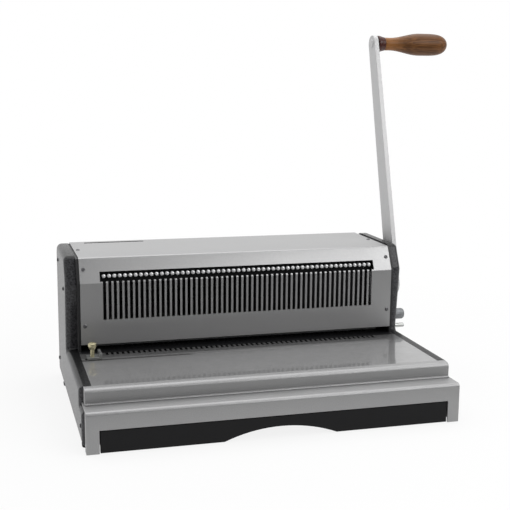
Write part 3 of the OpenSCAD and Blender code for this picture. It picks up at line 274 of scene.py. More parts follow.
# Sintered bronze: dull brown-gold with open pores of about half a millimetre.
oil_bronze, tree, place = mixed_pot("sintered_bronze")
pores = add(tree, "TexVoronoi", {"Vector": place, "Scale": per_mm(0.7)})
tone = add(tree, "Mix", {0: pores.outputs[0], 6: linear("8a6a3c"), 7: linear("a98a55")}, data_type="RGBA")
dull = add(tree, "MapRange", {"Value": pores.outputs[0], "To Min": 0.5, "To Max": 0.35})
shader = add(tree, "BsdfPrincipled", {
    "Base Color": tone.outputs[2], "Roughness": dull.outputs[0], "Metallic": 1.0})
add(tree, "OutputMaterial", {"Surface": shader.outputs[0]})
dress(oil_bronze, 0.3, "left_bush", "right_bush")


# Selector pins: 54 pull pins in the cover's window, one for each die, with domed heads.
# Turned from bar and chromed; the two at each end pull singly and the rest as a bank.
pin_start, pin_end, pin_middle = span("selector_left_1")
pitch = span("selector_left_2")[0][0] - pin_start[0]
HEAD_R, PIN_L = (pin_end[0] - pin_start[0]) / 2, pin_end[1] - pin_start[1]
PINS, PIN_SIDES, DOME, HEAD_L, STEM_R, PIN_EASE = 54, 20, 1.4, 4.0, 1.0, 0.4


def turned(profile, origin, axis, sides=48, swell=0.0, lift=0.0):
    """Surface of revolution: each (along, radius) of the profile is carried round the axis through origin.
    swell is added to the radius and lift to the place along the axis, for flutes and recesses."""
    along, radius = (np.asarray(profile, float)[:, i, None] for i in (0, 1))
    angle = np.linspace(0, 2 * math.pi, sides, endpoint=False)[None]
    axis = np.asarray(axis, float) / np.linalg.norm(axis)
    across = np.cross(axis, (0.0, 0.0, 1.0) if abs(axis[2]) < 0.9 else (1.0, 0.0, 0.0))
    across /= np.linalg.norm(across)
    upright = np.cross(axis, across)
    radius = np.where(radius > 0, radius + swell, 0)
    return (np.asarray(origin, float) + (along + lift)[..., None] * axis
            + (radius * np.cos(angle))[..., None] * across + (radius * np.sin(angle))[..., None] * upright)


dome = np.linspace(0, math.pi / 2, 6)
pin_profile = np.concatenate([
    np.stack([DOME * (1 - np.cos(dome)), HEAD_R * np.sin(dome)], -1),
    [[HEAD_L - PIN_EASE, HEAD_R], [HEAD_L, HEAD_R - PIN_EASE], [HEAD_L, STEM_R],
     [PIN_L - PIN_EASE, STEM_R], [PIN_L, STEM_R - PIN_EASE], [PIN_L, 0]]])
pin_places = [(pin_middle[0] + pitch * i, pin_start[1], pin_middle[2]) for i in range(PINS)]
pin_sheets = np.stack([turned(pin_profile, at, (0, 1, 0), PIN_SIDES) for at in pin_places])

# Satin chrome over a turned head: bright and pale, softened by the lathe's fine rings.
pin_chrome, tree, place = mixed_pot("satin_chrome")
rings = add(tree, "TexNoise", {"Vector": place, "Scale": per_mm(0.6), "Detail": 2})
tone = add(tree, "Mix", {0: rings.outputs[0], 6: linear("e6e7e9"), 7: linear("f6f6f6")}, data_type="RGBA")
dull = add(tree, "MapRange", {"Value": rings.outputs[0], "To Min": 0.24, "To Max": 0.36})
shader = add(tree, "BsdfPrincipled", {
    "Base Color": tone.outputs[2], "Roughness": dull.outputs[0], "Metallic": 0.5})
add(tree, "OutputMaterial", {"Surface": shader.outputs[0]})
for body, which in (("selector_bank", slice(2, PINS - 2)), ("selector_left_1", slice(0, 1)),
                    ("selector_left_2", slice(1, 2)), ("selector_right_1", slice(PINS - 1, PINS)),
                    ("selector_right_2", slice(PINS - 2, PINS - 1))):
    pins = skinned(body + "_pins", pin_sheets[which], pin_chrome, body)
    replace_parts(pins, body)


# Margin depth gauge: a shaft along the machine with two small pinions that shift the back gauge.
# The user turns it by the grey knob on the right cheek; a fixed pin under it is its stop.
# Knob and pin are turned bar, the knob cut with a straight knurl and anodised grey.
dress(blacked_steel, 0.15, "depth_shaft", "depth_pinions")
dress(zinc_plate, 0.2, "back_gauge")
dress(zinc_plate, 0.7, "knob_stop_pin")

# Satin grey anodising: even mid grey, matt from the etch bath, slightly cloudy.
grey_anodised, tree, place = mixed_pot("grey_anodised_aluminium")
etch = add(tree, "TexNoise", {"Vector": place, "Scale": per_mm(1.0), "Detail": 4})
tone = add(tree, "Mix", {0: etch.outputs[0], 6: linear("77797b"), 7: linear("8d8f91")}, data_type="RGBA")
dull = add(tree, "MapRange", {"Value": etch.outputs[0], "To Min": 0.36, "To Max": 0.5})
shader = add(tree, "BsdfPrincipled", {
    "Base Color": tone.outputs[2], "Roughness": dull.outputs[0], "Metallic": 0.75})
add(tree, "OutputMaterial", {"Surface": shader.outputs[0]})

# The knob's profile runs from its bore over an eased edge, the knurl and a rounded end, and back inside.
low, high, middle = span("depth_knob")
KNOB_L, KNOB_R = high[0] - low[0], (high[2] - low[2]) / 2
KNURL, KNURL_TEETH, KNOB_SIDES, KNOB_BORE, KNOB_CAP = 0.15, 32, 128, 3.03, 3.0
body_r, cap = KNOB_R - KNURL, KNOB_L - KNOB_CAP
knob_profile = np.array([
    [0, KNOB_BORE], [0, body_r - 0.7], [0.6, body_r - 0.05], [1.2, body_r], [KNOB_L - 2.7, body_r],
    [KNOB_L - 1.9, body_r - 0.2], [KNOB_L - 0.7, body_r - 0.9], [KNOB_L - 0.2, body_r - 2.3],
    [KNOB_L, body_r - 4], [KNOB_L, 0], [cap, 0], [cap, KNOB_BORE]])
knurl = np.cos(np.linspace(0, 2 * math.pi, KNOB_SIDES, endpoint=False) * KNURL_TEETH)[None]
knurled = (knob_profile[:, 1] == body_r)[:, None]
knob_rings = turned(knob_profile, (low[0], middle[1], middle[2]), (1, 0, 0), KNOB_SIDES,
                    swell=KNURL * knurl * knurled)
margin_knob = skinned("margin_knob", knob_rings[None], grey_anodised, "depth_dial", wrap_u=True)
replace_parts(margin_knob, "depth_knob")


# Paper table: a nose bar along the front, the table sheet and the comb-edged plate at the throat.
# The sheets are lacquered silver with a clear gloss; the nose bar is an extrusion in the machine's silver.
# They screw down on the beams; butt seams run across the full width.
comb_low, comb_high, _ = span("comb_plate")
THROAT_SHADE_FULL, THROAT_SHADE_REACH, SEAM_SHADE_HALF_W, SEAM_SHADE_END, SEAM_SHADE_FADE = 18.0, 46.0, 2.8, 136.0, 6.0

# Silver powder coat rubbed to a satin where paper and hands pass.
# Its flake is about 0.1 mm, drawn at 1 mm so that it shows.
satin_silver, tree, place = mixed_pot("satin_rubbed_silver")
flake = add(tree, "TexNoise", {"Vector": place, "Scale": per_mm(1.0), "Detail": 2})
satin_rub_and_neck_tone = add(tree, "TexNoise", {"Vector": place, "Scale": per_mm(40), "Detail": 4})
pigment = add(tree, "Mix", {0: flake.outputs[0], 6: linear("949495"), 7: linear("adadad")}, data_type="RGBA")
dull = add(tree, "MapRange", {"Value": satin_rub_and_neck_tone.outputs[0], "To Min": 0.42, "To Max": 0.54})
shader = add(tree, "BsdfPrincipled", {
    "Base Color": pigment.outputs[2], "Roughness": dull.outputs[0], "Metallic": 0.65})
add(tree, "OutputMaterial", {"Surface": shader.outputs[0]})
dress(satin_silver, 0.35, "nose_bar")

# Silver lacquer under a clear gloss coat: an even grey with paper scuffs that mirrors softly at a low angle.
# Towards the dies it is painted darker as painted shade under the cover, and a painted shade line runs along
# the seam by the side guide.
polished_sheet, tree, place = mixed_pot("gloss_silver_lacquer")
brushed = add(tree, "Mapping", {"Vector": place, "Scale": (0.012, 1, 1)})
brush = add(tree, "TexNoise", {"Vector": brushed.outputs[0], "Scale": per_mm(0.9), "Detail": 4})
scuff = add(tree, "TexNoise", {"Vector": place, "Scale": per_mm(18), "Detail": 6, "Roughness": 0.65})
lacquer = add(tree, "Mix", {0: brush.outputs[0], 6: linear("7b7b7c"), 7: linear("8a8a8a")}, data_type="RGBA")
spot = add(tree, "SeparateXYZ", {0: place})
# Painted shade: the sheet's colour is darkened towards the dies, under the cover's brow.
painted_throat_shade = add(tree, "MapRange", {
    "Value": spot.outputs[1], "From Min": (comb_high[1] - THROAT_SHADE_REACH) * MM,
    "From Max": (comb_high[1] - THROAT_SHADE_FULL) * MM, "To Min": 0.0, "To Max": 0.4})
# Painted shade: a dark line along the seam to the comb plate, on its left part by the side guide.
in_seam = add(tree, "Math", {0: spot.outputs[1], 1: comb_low[1] * MM, 2: SEAM_SHADE_HALF_W * MM},
              operation="COMPARE")
near_guide = add(tree, "MapRange", {
    "Value": spot.outputs[0], "From Min": (SEAM_SHADE_END - SEAM_SHADE_FADE) * MM,
    "From Max": (SEAM_SHADE_END + SEAM_SHADE_FADE) * MM, "To Min": 1.0, "To Max": 0.0})
painted_seam_shade = add(tree, "Math", {0: in_seam.outputs[0], 1: near_guide.outputs[0]}, operation="MULTIPLY")
painted_table_shade = add(tree, "Math", {0: painted_throat_shade.outputs[0], 1: painted_seam_shade.outputs[0]}, operation="MAXIMUM")
tone = add(tree, "Mix", {0: painted_table_shade.outputs[0], 6: lacquer.outputs[2], 7: linear("161616")}, data_type="RGBA")
dull = add(tree, "MapRange", {
    "Value": scuff.outputs[0], "From Min": 0.3, "From Max": 0.7, "To Min": 0.34, "To Max": 0.46})
shader = add(tree, "BsdfPrincipled", {
    "Base Color": tone.outputs[2], "Roughness": dull.outputs[0], "Metallic": 0.3,
    "Coat Weight": 1.0, "Coat Roughness": 0.03})
add(tree, "OutputMaterial", {"Surface": shader.outputs[0]})
dress(polished_sheet, 0.35, "table_plate")
dress(polished_sheet, 0.3, "comb_plate")


# Side guide: a small L-shaped stop on the table's left end, locked by a turned knob over a slot.
# Guide and nut are zinc-plated steel; the knob is nickel over brass, worn a little yellow.
dress(zinc_plate, 0.4, "side_guide")
dress(zinc_plate, 0.3, "guide_nut")

# Thin nickel on brass: pale warm metal, the brass tinting through in clouds.
warm_nickel, tree, place = mixed_pot("nickel_on_brass")
worn = add(tree, "TexNoise", {"Vector": place, "Scale": per_mm(3), "Detail": 4})
tone = add(tree, "Mix", {0: worn.outputs[0], 6: linear("cfc9ac"), 7: linear("b9b088")}, data_type="RGBA")
dull = add(tree, "MapRange", {"Value": worn.outputs[0], "To Min": 0.25, "To Max": 0.42})
shader = add(tree, "BsdfPrincipled", {
    "Base Color": tone.outputs[2], "Roughness": dull.outputs[0], "Metallic": 0.8})
add(tree, "OutputMaterial", {"Surface": shader.outputs[0]})

# The knob's profile runs up the stud, out under the head, over the knurled rim and a bead to the flat top.
low, high, middle = span("guide_knob")
FINE, FINE_TEETH, LOCK_SIDES = 0.1, 28, 112
STUD_L, STUD_R, LOCK_H, RIM_R = 21.0, 2.3, high[2] - low[2], (high[0] - low[0]) / 2 - FINE
lock_profile = np.array([
    [0, 0], [0, STUD_R - 0.4], [0.4, STUD_R], [STUD_L, STUD_R], [STUD_L, STUD_R + 0.5],
    [STUD_L + 2, RIM_R - 0.75], [STUD_L + 4, RIM_R - 0.05], [STUD_L + 4.2, RIM_R],
    [LOCK_H - 1, RIM_R], [LOCK_H - 0.7, RIM_R - 0.05], [LOCK_H - 0.3, RIM_R - 0.45],
    [LOCK_H, RIM_R - 1.05], [LOCK_H - 0.3, RIM_R - 1.85], [LOCK_H - 0.3, 0]])
fine_knurl = np.cos(np.linspace(0, 2 * math.pi, LOCK_SIDES, endpoint=False) * FINE_TEETH)[None]
rim = (lock_profile[:, 1] == RIM_R)[:, None]
lock_rings = turned(lock_profile, (middle[0], middle[1], low[2]), (0, 0, 1), LOCK_SIDES,
                    swell=FINE * fine_knurl * rim)
lock_knob = skinned("side_guide_lock_knob", lock_rings[None], warm_nickel, "guide_knob")
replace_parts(lock_knob, "guide_knob")


# Front apron and chip drawer: a bent silver apron with a wide opening, and a black drawer in it.
# The drawer front is enamelled sheet with a finger arch; the stepped tray behind it is folded sheet.
dress(satin_silver, 0.35, "apron")

# Stoved black enamel: deep black, satin, with a slight orange peel and fine handling rub.
drawer_black, tree, place = mixed_pot("stoved_black_enamel")
peel = add(tree, "TexNoise", {"Vector": place, "Scale": per_mm(2), "Detail": 2})
rub = add(tree, "TexNoise", {"Vector": place, "Scale": per_mm(30), "Detail": 5})
tone = add(tree, "Mix", {0: rub.outputs[0], 6: linear("0d0d0e"), 7: linear("171719")}, data_type="RGBA")
dull = add(tree, "MapRange", {"Value": rub.outputs[0], "To Min": 0.34, "To Max": 0.5})
skin_bump = add(tree, "Bump", {"Height": peel.outputs[0], "Strength": 0.1, "Distance": 0.15 * MM})
shader = add(tree, "BsdfPrincipled", {
    "Base Color": tone.outputs[2], "Roughness": dull.outputs[0], "Specular IOR Level": 0.2,
    "Normal": skin_bump.outputs[0]})
add(tree, "OutputMaterial", {"Surface": shader.outputs[0]})
dress(drawer_black, 0.5, "drawer_front")
dress(drawer_black, 0.2, "chip_tray")


# Punch cover and rear panel: one bent silver sheet with the window and 54 slots, and a flat back.
# Punched and folded from 1.5 mm steel, powder coated, held by pan-head screws in the side plates.
cover_low, cover_high, _ = span("punch_cover")
SLOT_X, SLOT_W, SLOT_BACK, SLOT_D, SLOT_MIDDLE, SKIN = 17.7, 76.0, 12.5, 5.0, 1.0, 0.05
slot_middle = np.array([cover_low[0] + SLOT_X + SLOT_W / 2, cover_high[1] - SLOT_BACK + SLOT_D / 2,
                        cover_high[2] - SLOT_MIDDLE]) * MM
slot_reach = np.array([SLOT_W / 2 + SKIN, SLOT_D / 2 + SKIN, SLOT_MIDDLE - SKIN]) * MM

# Silver powder coat: aluminium flake under a satin skin, the flake drawn at 1 mm so that it shows.
# The gauge slot's walls in the top are painted near black and not metallic: painted shade inside the slot.
silver_coat, tree, place = mixed_pot("silver_powder_coat")
flake = add(tree, "TexNoise", {"Vector": place, "Scale": per_mm(1.0), "Detail": 2})
drift = add(tree, "TexNoise", {"Vector": place, "Scale": per_mm(60), "Detail": 3})
peel = add(tree, "TexNoise", {"Vector": place, "Scale": per_mm(2.5), "Detail": 1})
pigment = add(tree, "Mix", {0: flake.outputs[0], 6: linear("9c9c9d"), 7: linear("b6b6b6")}, data_type="RGBA")
# Painted shade: a box round the gauge slot, under the top face, gets a near-black colour and no metal.
from_slot = add(tree, "VectorMath", {0: place, 1: tuple(slot_middle.tolist())}, operation="SUBTRACT")
away = add(tree, "VectorMath", {0: from_slot.outputs[0]}, operation="ABSOLUTE")
shares = add(tree, "VectorMath", {0: away.outputs[0], 1: tuple(slot_reach.tolist())}, operation="DIVIDE")
each = add(tree, "SeparateXYZ", {0: shares.outputs[0]})
flatwise = add(tree, "Math", {0: each.outputs[0], 1: each.outputs[1]}, operation="MAXIMUM")
furthest = add(tree, "Math", {0: flatwise.outputs[0], 1: each.outputs[2]}, operation="MAXIMUM")
painted_slot_shade = add(tree, "Math", {0: furthest.outputs[0], 1: 1.0}, operation="LESS_THAN")
tone = add(tree, "Mix", {0: painted_slot_shade.outputs[0], 6: pigment.outputs[2], 7: linear("0e0e0f")},
           data_type="RGBA")
metal_off_in_slot_shade = add(tree, "MapRange", {"Value": painted_slot_shade.outputs[0], "To Min": 0.7, "To Max": 0.0})
dull = add(tree, "MapRange", {"Value": drift.outputs[0], "To Min": 0.34, "To Max": 0.46})
skin_bump = add(tree, "Bump", {"Height": peel.outputs[0], "Strength": 0.06, "Distance": 0.2 * MM})
shader = add(tree, "BsdfPrincipled", {
    "Base Color": tone.outputs[2], "Roughness": dull.outputs[0], "Metallic": metal_off_in_slot_shade.outputs[0],
    "Normal": skin_bump.outputs[0]})
add(tree, "OutputMaterial", {"Surface": shader.outputs[0]})
dress(silver_coat, 0.25, "punch_cover", "rear_panel")

# Black zinc on screws: dark with a grey sheen where the driver has rubbed.
screw_black, tree, place = mixed_pot("black_zinc_screw")
rub = add(tree, "TexNoise", {"Vector": place, "Scale": per_mm(1.5), "Detail": 3})
tone = add(tree, "Mix", {0: rub.outputs[0], 6: linear("626264"), 7: linear("868688")}, data_type="RGBA")
dull = add(tree, "MapRange", {"Value": rub.outputs[0], "To Min": 0.3, "To Max": 0.5})
shader = add(tree, "BsdfPrincipled", {
    "Base Color": tone.outputs[2], "Roughness": dull.outputs[0], "Metallic": 0.8})
add(tree, "OutputMaterial", {"Surface": shader.outputs[0]})

SCREW_HEAD_R, SCREW_HEAD_H, SCREW_SHANK_R, SCREW_L, SCREW_SIDES = 2.4, 1.2, 1.5, 6.0, 48
BAR_HALF_W, BAR_HALF_L, RECESS_D, WALL_SLOPE, END_SLOPE = 0.35, 1.3, 0.7, 0.2, 0.25
sweep = np.linspace(0, 1, 11)
pan_profile = np.concatenate([
    np.stack([SCREW_HEAD_H * (1 - 0.75 * sweep ** 4), SCREW_HEAD_R * sweep], -1),
    [[0, SCREW_HEAD_R], [0, SCREW_SHANK_R], [0.6 - SCREW_L, SCREW_SHANK_R],
     [-SCREW_L, SCREW_SHANK_R - 0.5], [-SCREW_L, 0]]])


def pan_screws(name, places, node, finish):
    """Pan heads on shanks, each pointing along its own normal, with a cross recess pressed into the top:
    two crossed bars 0.7 mm wide and 2.6 mm long, 0.7 mm deep with sloping walls."""
    angle = np.linspace(0, 2 * math.pi, SCREW_SIDES, endpoint=False)[None]
    x, y = (pan_profile[:, 1, None] * f(angle) for f in (np.cos, np.sin))
    bars = [np.clip((BAR_HALF_W - np.abs(a)) / WALL_SLOPE + 0.5, 0, 1)
            * np.clip((BAR_HALF_L - np.abs(b)) / END_SLOPE + 0.5, 0, 1) for a, b in ((x, y), (y, x))]
    on_top = (np.arange(len(pan_profile)) < len(sweep))[:, None]
    recess = -RECESS_D * np.maximum(*bars) * on_top
    heads = np.stack([turned(pan_profile, at, along, SCREW_SIDES, lift=recess) for at, along in places])
    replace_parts(skinned(name, heads, finish, "frame"), node)


# Three screws at each end of the cover, in slope, face and top, and three down each side of the back.
SLOPE_H, SLOPE_RUN, UP_SLOPE = 28.5, 14.5, 0.55
SCREW_IN, FACE_UP, TOP_BACK, REAR_UP, REAR_MIDDLE, REAR_DOWN = 4.8, 22.5, 68.0, 20.0, 95.0, 14.0
screw_x = (cover_low[0] + SCREW_IN, cover_high[0] - SCREW_IN)
cover_places = (
    (UP_SLOPE * SLOPE_RUN, cover_high[2] - (1 - UP_SLOPE) * SLOPE_H, (0, -SLOPE_H, SLOPE_RUN)),
    (0, cover_low[2] + FACE_UP, (0, -1, 0)), (TOP_BACK, cover_high[2], (0, 0, 1)))
pan_screws("cover_pan_screws", [((x, cover_low[1] + back, z), facing) for x in screw_x
                                for back, z, facing in cover_places],
           "cover_screws", screw_black)
pan_screws("rear_pan_screws", [((x, cover_high[1], z), (0, 1, 0)) for x in screw_x
                               for z in (REAR_UP, REAR_MIDDLE, cover_high[2] - REAR_DOWN)],
           "rear_screws", screw_black)


# Cheeks and feet: two moulded end covers over the side plates, standing on four rubber feet.
# Moulded in charcoal plastic with soft outer edges and a leather-like texture, each held by four screws.
EDGE_R, WALL, BASE_Z, APRON_T, APRON_RETURN, RAIL_GAP = 6.0, 2.5, 5.0, 2.0, 12.0, 0.3
BROW_BACK, RIM_BACK, SHAFT_HOLE_R, DEPTH_HOLE_R = 7.0, 15.0, 12.0, 4.0
CORNER_POINTS, EDGE_POINTS, LEAST_R, DRILL_REACH = 7, 8, 0.5, 50.0

# Wrinkle texture on plastic: grains of about 2 mm, with painted highlights on the raised grain
# and painted shade in the hollows; faces that look up are painted dark, as painted shade.
charcoal_moulding, tree, place = mixed_pot("textured_charcoal_plastic")
hide = add(tree, "TexVoronoi", {"Vector": place, "Scale": per_mm(2.2), "Randomness": 1.0})
fine = add(tree, "TexNoise", {"Vector": place, "Scale": per_mm(1.1), "Detail": 4})
relief = add(tree, "Math", {0: hide.outputs[0], 1: fine.outputs[0]}, operation="ADD")
# Painted light: raised grain is painted lighter and hollows darker, and upward faces get only the dark
# colour.
ridge = add(tree, "MapRange", {"Value": relief.outputs[0], "From Min": 0.5, "From Max": 1.3})
upright = add(tree, "SeparateXYZ", {0: add(tree, "TexCoord").outputs["Normal"]})
side_faces_only = add(tree, "MapRange", {
    "Value": upright.outputs[2], "From Min": 0.5, "From Max": 0.9, "To Min": 1, "To Max": 0})
painted_grain_highlight = add(tree, "Math", {0: ridge.outputs[0], 1: side_faces_only.outputs[0]}, operation="MULTIPLY")
tone = add(tree, "Mix", {0: painted_grain_highlight.outputs[0], 6: linear("131314"), 7: linear("48484b")}, data_type="RGBA")
dull = add(tree, "MapRange", {"Value": hide.outputs[0], "To Min": 0.4, "To Max": 0.6})
skin_bump = add(tree, "Bump", {"Height": relief.outputs[0], "Strength": 0.4, "Distance": 0.3 * MM})
shader = add(tree, "BsdfPrincipled", {
    "Base Color": tone.outputs[2], "Roughness": dull.outputs[0], "Specular IOR Level": 0.12,
    "Coat Weight": 0.37, "Coat Roughness": 0.1, "Normal": skin_bump.outputs[0]})
add(tree, "OutputMaterial", {"Surface": shader.outputs[0]})


def softened(corners, radii, inset):
    """Closed outline, corners given anticlockwise: each edge moves inwards by inset, and each corner turns
    on an arc of its own radius, less inset where it stands out and plus inset where it is hollow."""
    along = np.roll(corners, -1, 0) - corners
    along /= np.linalg.norm(along, axis=1, keepdims=True)
    inward = np.stack([-along[:, 1], along[:, 0]], -1)
    inward_before = np.roll(inward, 1, 0)
    meet = (inward_before + inward) / (1 + (inward_before * inward).sum(1, keepdims=True))
    stands_out = np.sign((inward_before * along).sum(1, keepdims=True))
    radius = np.where(stands_out > 0, np.maximum(radii - inset, LEAST_R), radii + inset)
    turned_by = np.linspace(0, 1, CORNER_POINTS)[:, None]
    facing = -stands_out[:, None] * (inward_before[:, None] * (1 - turned_by) + inward[:, None] * turned_by)
    facing /= np.linalg.norm(facing, axis=2, keepdims=True)
    centre = corners + (inset + stands_out * radius) * meet
    return (centre[:, None] + radius[:, None] * facing).reshape(-1, 2)


# The outline from the apron's foot round the back, over the brow and down to the rail and the apron's ledge.
# The outer face is drawn as a fan from one point in it that sees the whole outline.
apron_low, apron_high, _ = span("apron")
front, face, rear = apron_low[1], cover_low[1], cover_high[1]
foot_y, ledge = front + APRON_RETURN, apron_high[2] - APRON_T
cheek_top, rail_z = span("left_cheek")[1][2], span("table_plate")[1][2]
rail_y = span("nose_bar")[1][1] + RAIL_GAP
cheek_corners = np.array([
    [foot_y, BASE_Z], [rear, BASE_Z], [rear, cheek_top], [face + BROW_BACK + SLOPE_RUN, cheek_top],
    [face + BROW_BACK, cover_high[2] - SLOPE_H], [face + RIM_BACK, rail_z], [rail_y, rail_z],
    [rail_y, ledge], [foot_y, ledge]])
cheek_radii = np.array([3, 8, 14, 7, 10, 4, 2, 0, 3.0])[:, None]
FAN_FROM = np.array([[200.0, 35.0]])


def cheek_shell(inside, outside):
    """Hollow cheek as rings of its outline from the middle of the outer face over the round edge to the side
    plate, and back along the inside of the wall; the round edge is a quarter circle swept on the outline."""
    out = np.sign(outside - inside)
    quarter = np.linspace(math.pi / 2, 0, EDGE_POINTS)
    steps = [(outside, EDGE_R + LEAST_R)]
    steps += list(zip(outside - out * EDGE_R * (1 - np.sin(quarter)), EDGE_R * (1 - np.cos(quarter))))
    steps += [(inside, 0), (inside, WALL), (outside - out * WALL, WALL)]
    rings = [softened(cheek_corners, cheek_radii, inset) for _, inset in steps]
    rings = np.stack([0 * rings[0] + FAN_FROM, *rings, 0 * rings[0] + FAN_FROM])
    across = np.array([outside, *(x for x, _ in steps), outside - out * WALL])
    return np.concatenate([np.broadcast_to(across[:, None, None], rings.shape[:2] + (1,)), rings], -1)[None]


def bored(piece, middle, radius):
    """A round hole along X through a piece; the drill that cuts it is thrown away afterwards."""
    rod = turned([[-DRILL_REACH, 0], [-DRILL_REACH, radius], [DRILL_REACH, radius], [DRILL_REACH, 0]],
                 middle, (1, 0, 0))
    drill = bpy.data.objects.new("drill", shell_mesh("drill", rod[None]))
    bpy.context.scene.collection.objects.link(drill)
    cut = piece.modifiers.new("bore", "BOOLEAN")
    cut.operation, cut.solver, cut.object = "DIFFERENCE", "EXACT", drill
    bpy.context.view_layer.update()
    cut_piece = piece.evaluated_get(bpy.context.evaluated_depsgraph_get())
    piece.data = bpy.data.meshes.new_from_object(cut_piece)
    piece.modifiers.remove(cut)
    bpy.data.objects.remove(drill)
    keep_crisp(piece.data)


left_low, left_high, _ = span("left_cheek")
right_low, right_high, _ = span("right_cheek")
for side, inside, outside in (("left", left_high[0], left_low[0]), ("right", right_low[0], right_high[0])):
    cheek = skinned(side + "_moulded_cheek", cheek_shell(inside, outside), charcoal_moulding, "frame")
    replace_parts(cheek, side + "_cheek")

# The right cheek, the last one made, lets the lever's spacer and the depth shaft through.
bored(cheek, span("lever_spacer")[2], SHAFT_HOLE_R)
bored(cheek, span("depth_shaft")[2], DEPTH_HOLE_R)

# Four screws in each cheek, in from the corners of the machine's side, with heads in the cheek's colour.
LOW_SCREW_Z, FRONT_IN, REAR_IN = 25.0, 22.0, 14.0
TOP_IN, TOP_DOWN, BROW_IN, BROW_DOWN = 22.0, 18.0, 34.0, 40.0
cheek_places = ((front + FRONT_IN, LOW_SCREW_Z), (rear - REAR_IN, LOW_SCREW_Z),
                (rear - TOP_IN, cover_high[2] - TOP_DOWN), (face + BROW_IN, cover_high[2] - BROW_DOWN))
ends = (left_low[0], -1), (right_high[0], 1)
pan_screws("cheek_pan_screws", [((x, y, z), (out, 0, 0)) for x, out in ends for y, z in cheek_places],
           "cheek_screws", charcoal_moulding)

# Moulded rubber: matt black with bloom and a ground-in dusty look.
foot_rubber, tree, place = mixed_pot("moulded_rubber")
bloom = add(tree, "TexNoise", {"Vector": place, "Scale": per_mm(3), "Detail": 4})
tone = add(tree, "Mix", {0: bloom.outputs[0], 6: linear("151515"), 7: linear("2a2a29")}, data_type="RGBA")
dull = add(tree, "MapRange", {"Value": bloom.outputs[0], "To Min": 0.7, "To Max": 0.9})
shader = add(tree, "BsdfPrincipled", {"Base Color": tone.outputs[2], "Roughness": dull.outputs[0]})
add(tree, "OutputMaterial", {"Surface": shader.outputs[0]})
dress(foot_rubber, 0.8, "rubber_feet")


# Lever: a flat tapered bar on the drive shaft with a turned hub, and a bolt through its top eye.
# The bar is cut from 5.5 mm plate, linished along its length and sprayed a paler silver with its boss.
dress(zinc_plate, 0.3, "grip_washer")

# Pale silver lacquer: fine flake in a satin coat, with faint linishing lines along the bar, drawn at 1.2 mm.
pale_silver, tree, place = mixed_pot("pale_silver_lacquer")
along_bar = add(tree, "Mapping", {"Vector": place, "Scale": (1, 1, 0.04)})
linished = add(tree, "TexNoise", {"Vector": along_bar.outputs[0], "Scale": per_mm(1.2), "Detail": 3})
tone = add(tree, "Mix", {0: linished.outputs[0], 6: linear("c2c2c3"), 7: linear("d0d0d0")}, data_type="RGBA")
dull = add(tree, "MapRange", {"Value": linished.outputs[0], "To Min": 0.42, "To Max": 0.52})
shader = add(tree, "BsdfPrincipled", {
    "Base Color": tone.outputs[2], "Roughness": dull.outputs[0], "Metallic": 0.35})
add(tree, "OutputMaterial", {"Surface": shader.outputs[0]})
dress(pale_silver, 0.2, "lever_bar")
dress(pale_silver, 0.3, "lever_hub", "hub_screw", "grip_bolt")


# Grip: a turned hardwood handle that spins on the bolt, with a painted steel ferrule at its neck.
# The wood is stained brown and varnished; its grain runs along the handle.
low, high, middle = span("wooden_grip")
GRIP_L, GRIP_R, GRIP_SIDES = high[0] - low[0], (high[2] - low[2]) / 2, 64
NECK_R, WAIST_R, BORE_R, BLIND = 8.5, 8.4, 4.06, 22.0
WAIST_AT, FULL_AT, BLUNT = 0.08, 0.56, 4.5
NECK_LIGHTEST, NECK_PLAIN_FROM = 6.0, 28.0
step = np.linspace(0, 1, 21)
bore_end = GRIP_L - BLIND + 1
neck_to_belly = np.stack([GRIP_L * (WAIST_AT + (FULL_AT - WAIST_AT) * step),
                          WAIST_R + (GRIP_R - WAIST_R) * (1 - np.cos(math.pi * step)) / 2], -1)
belly_to_end = np.stack([GRIP_L * (FULL_AT + (1 - FULL_AT) * np.sin(math.pi / 2 * step)),
                         GRIP_R * np.sqrt(1 - np.sin(math.pi / 2 * step) ** BLUNT)], -1)
grip_profile = np.concatenate([
    [[bore_end, 0], [bore_end, BORE_R], [0, BORE_R], [0, NECK_R - 0.3], [0.5, NECK_R]],
    neck_to_belly, belly_to_end[1:]])
grip_profile[-1, 1] = 0

# Stained and varnished hardwood: long dark grain lines about 1.5 mm apart under a thin varnish.
# Towards the neck the colour turns a lighter amber.
stained_wood, tree, place = mixed_pot("stained_varnished_hardwood")
along_grain = add(tree, "Mapping", {"Vector": place, "Scale": (0.05, 1, 1)})
figure = add(tree, "TexNoise", {
    "Vector": along_grain.outputs[0], "Scale": per_mm(6), "Detail": 5, "Distortion": 0.6})
pore = add(tree, "TexNoise", {"Vector": along_grain.outputs[0], "Scale": per_mm(1.5), "Detail": 3})
warm = add(tree, "Mix", {0: figure.outputs[0], 6: linear("5a3a1e"), 7: linear("946339")}, data_type="RGBA")
lines = add(tree, "MapRange", {
    "Value": pore.outputs[0], "From Min": 0.4, "From Max": 0.62, "To Min": 0.55, "To Max": 0})
stained = add(tree, "Mix", {0: lines.outputs[0], 6: warm.outputs[2], 7: linear("301b09")}, data_type="RGBA")
spot = add(tree, "SeparateXYZ", {0: place})
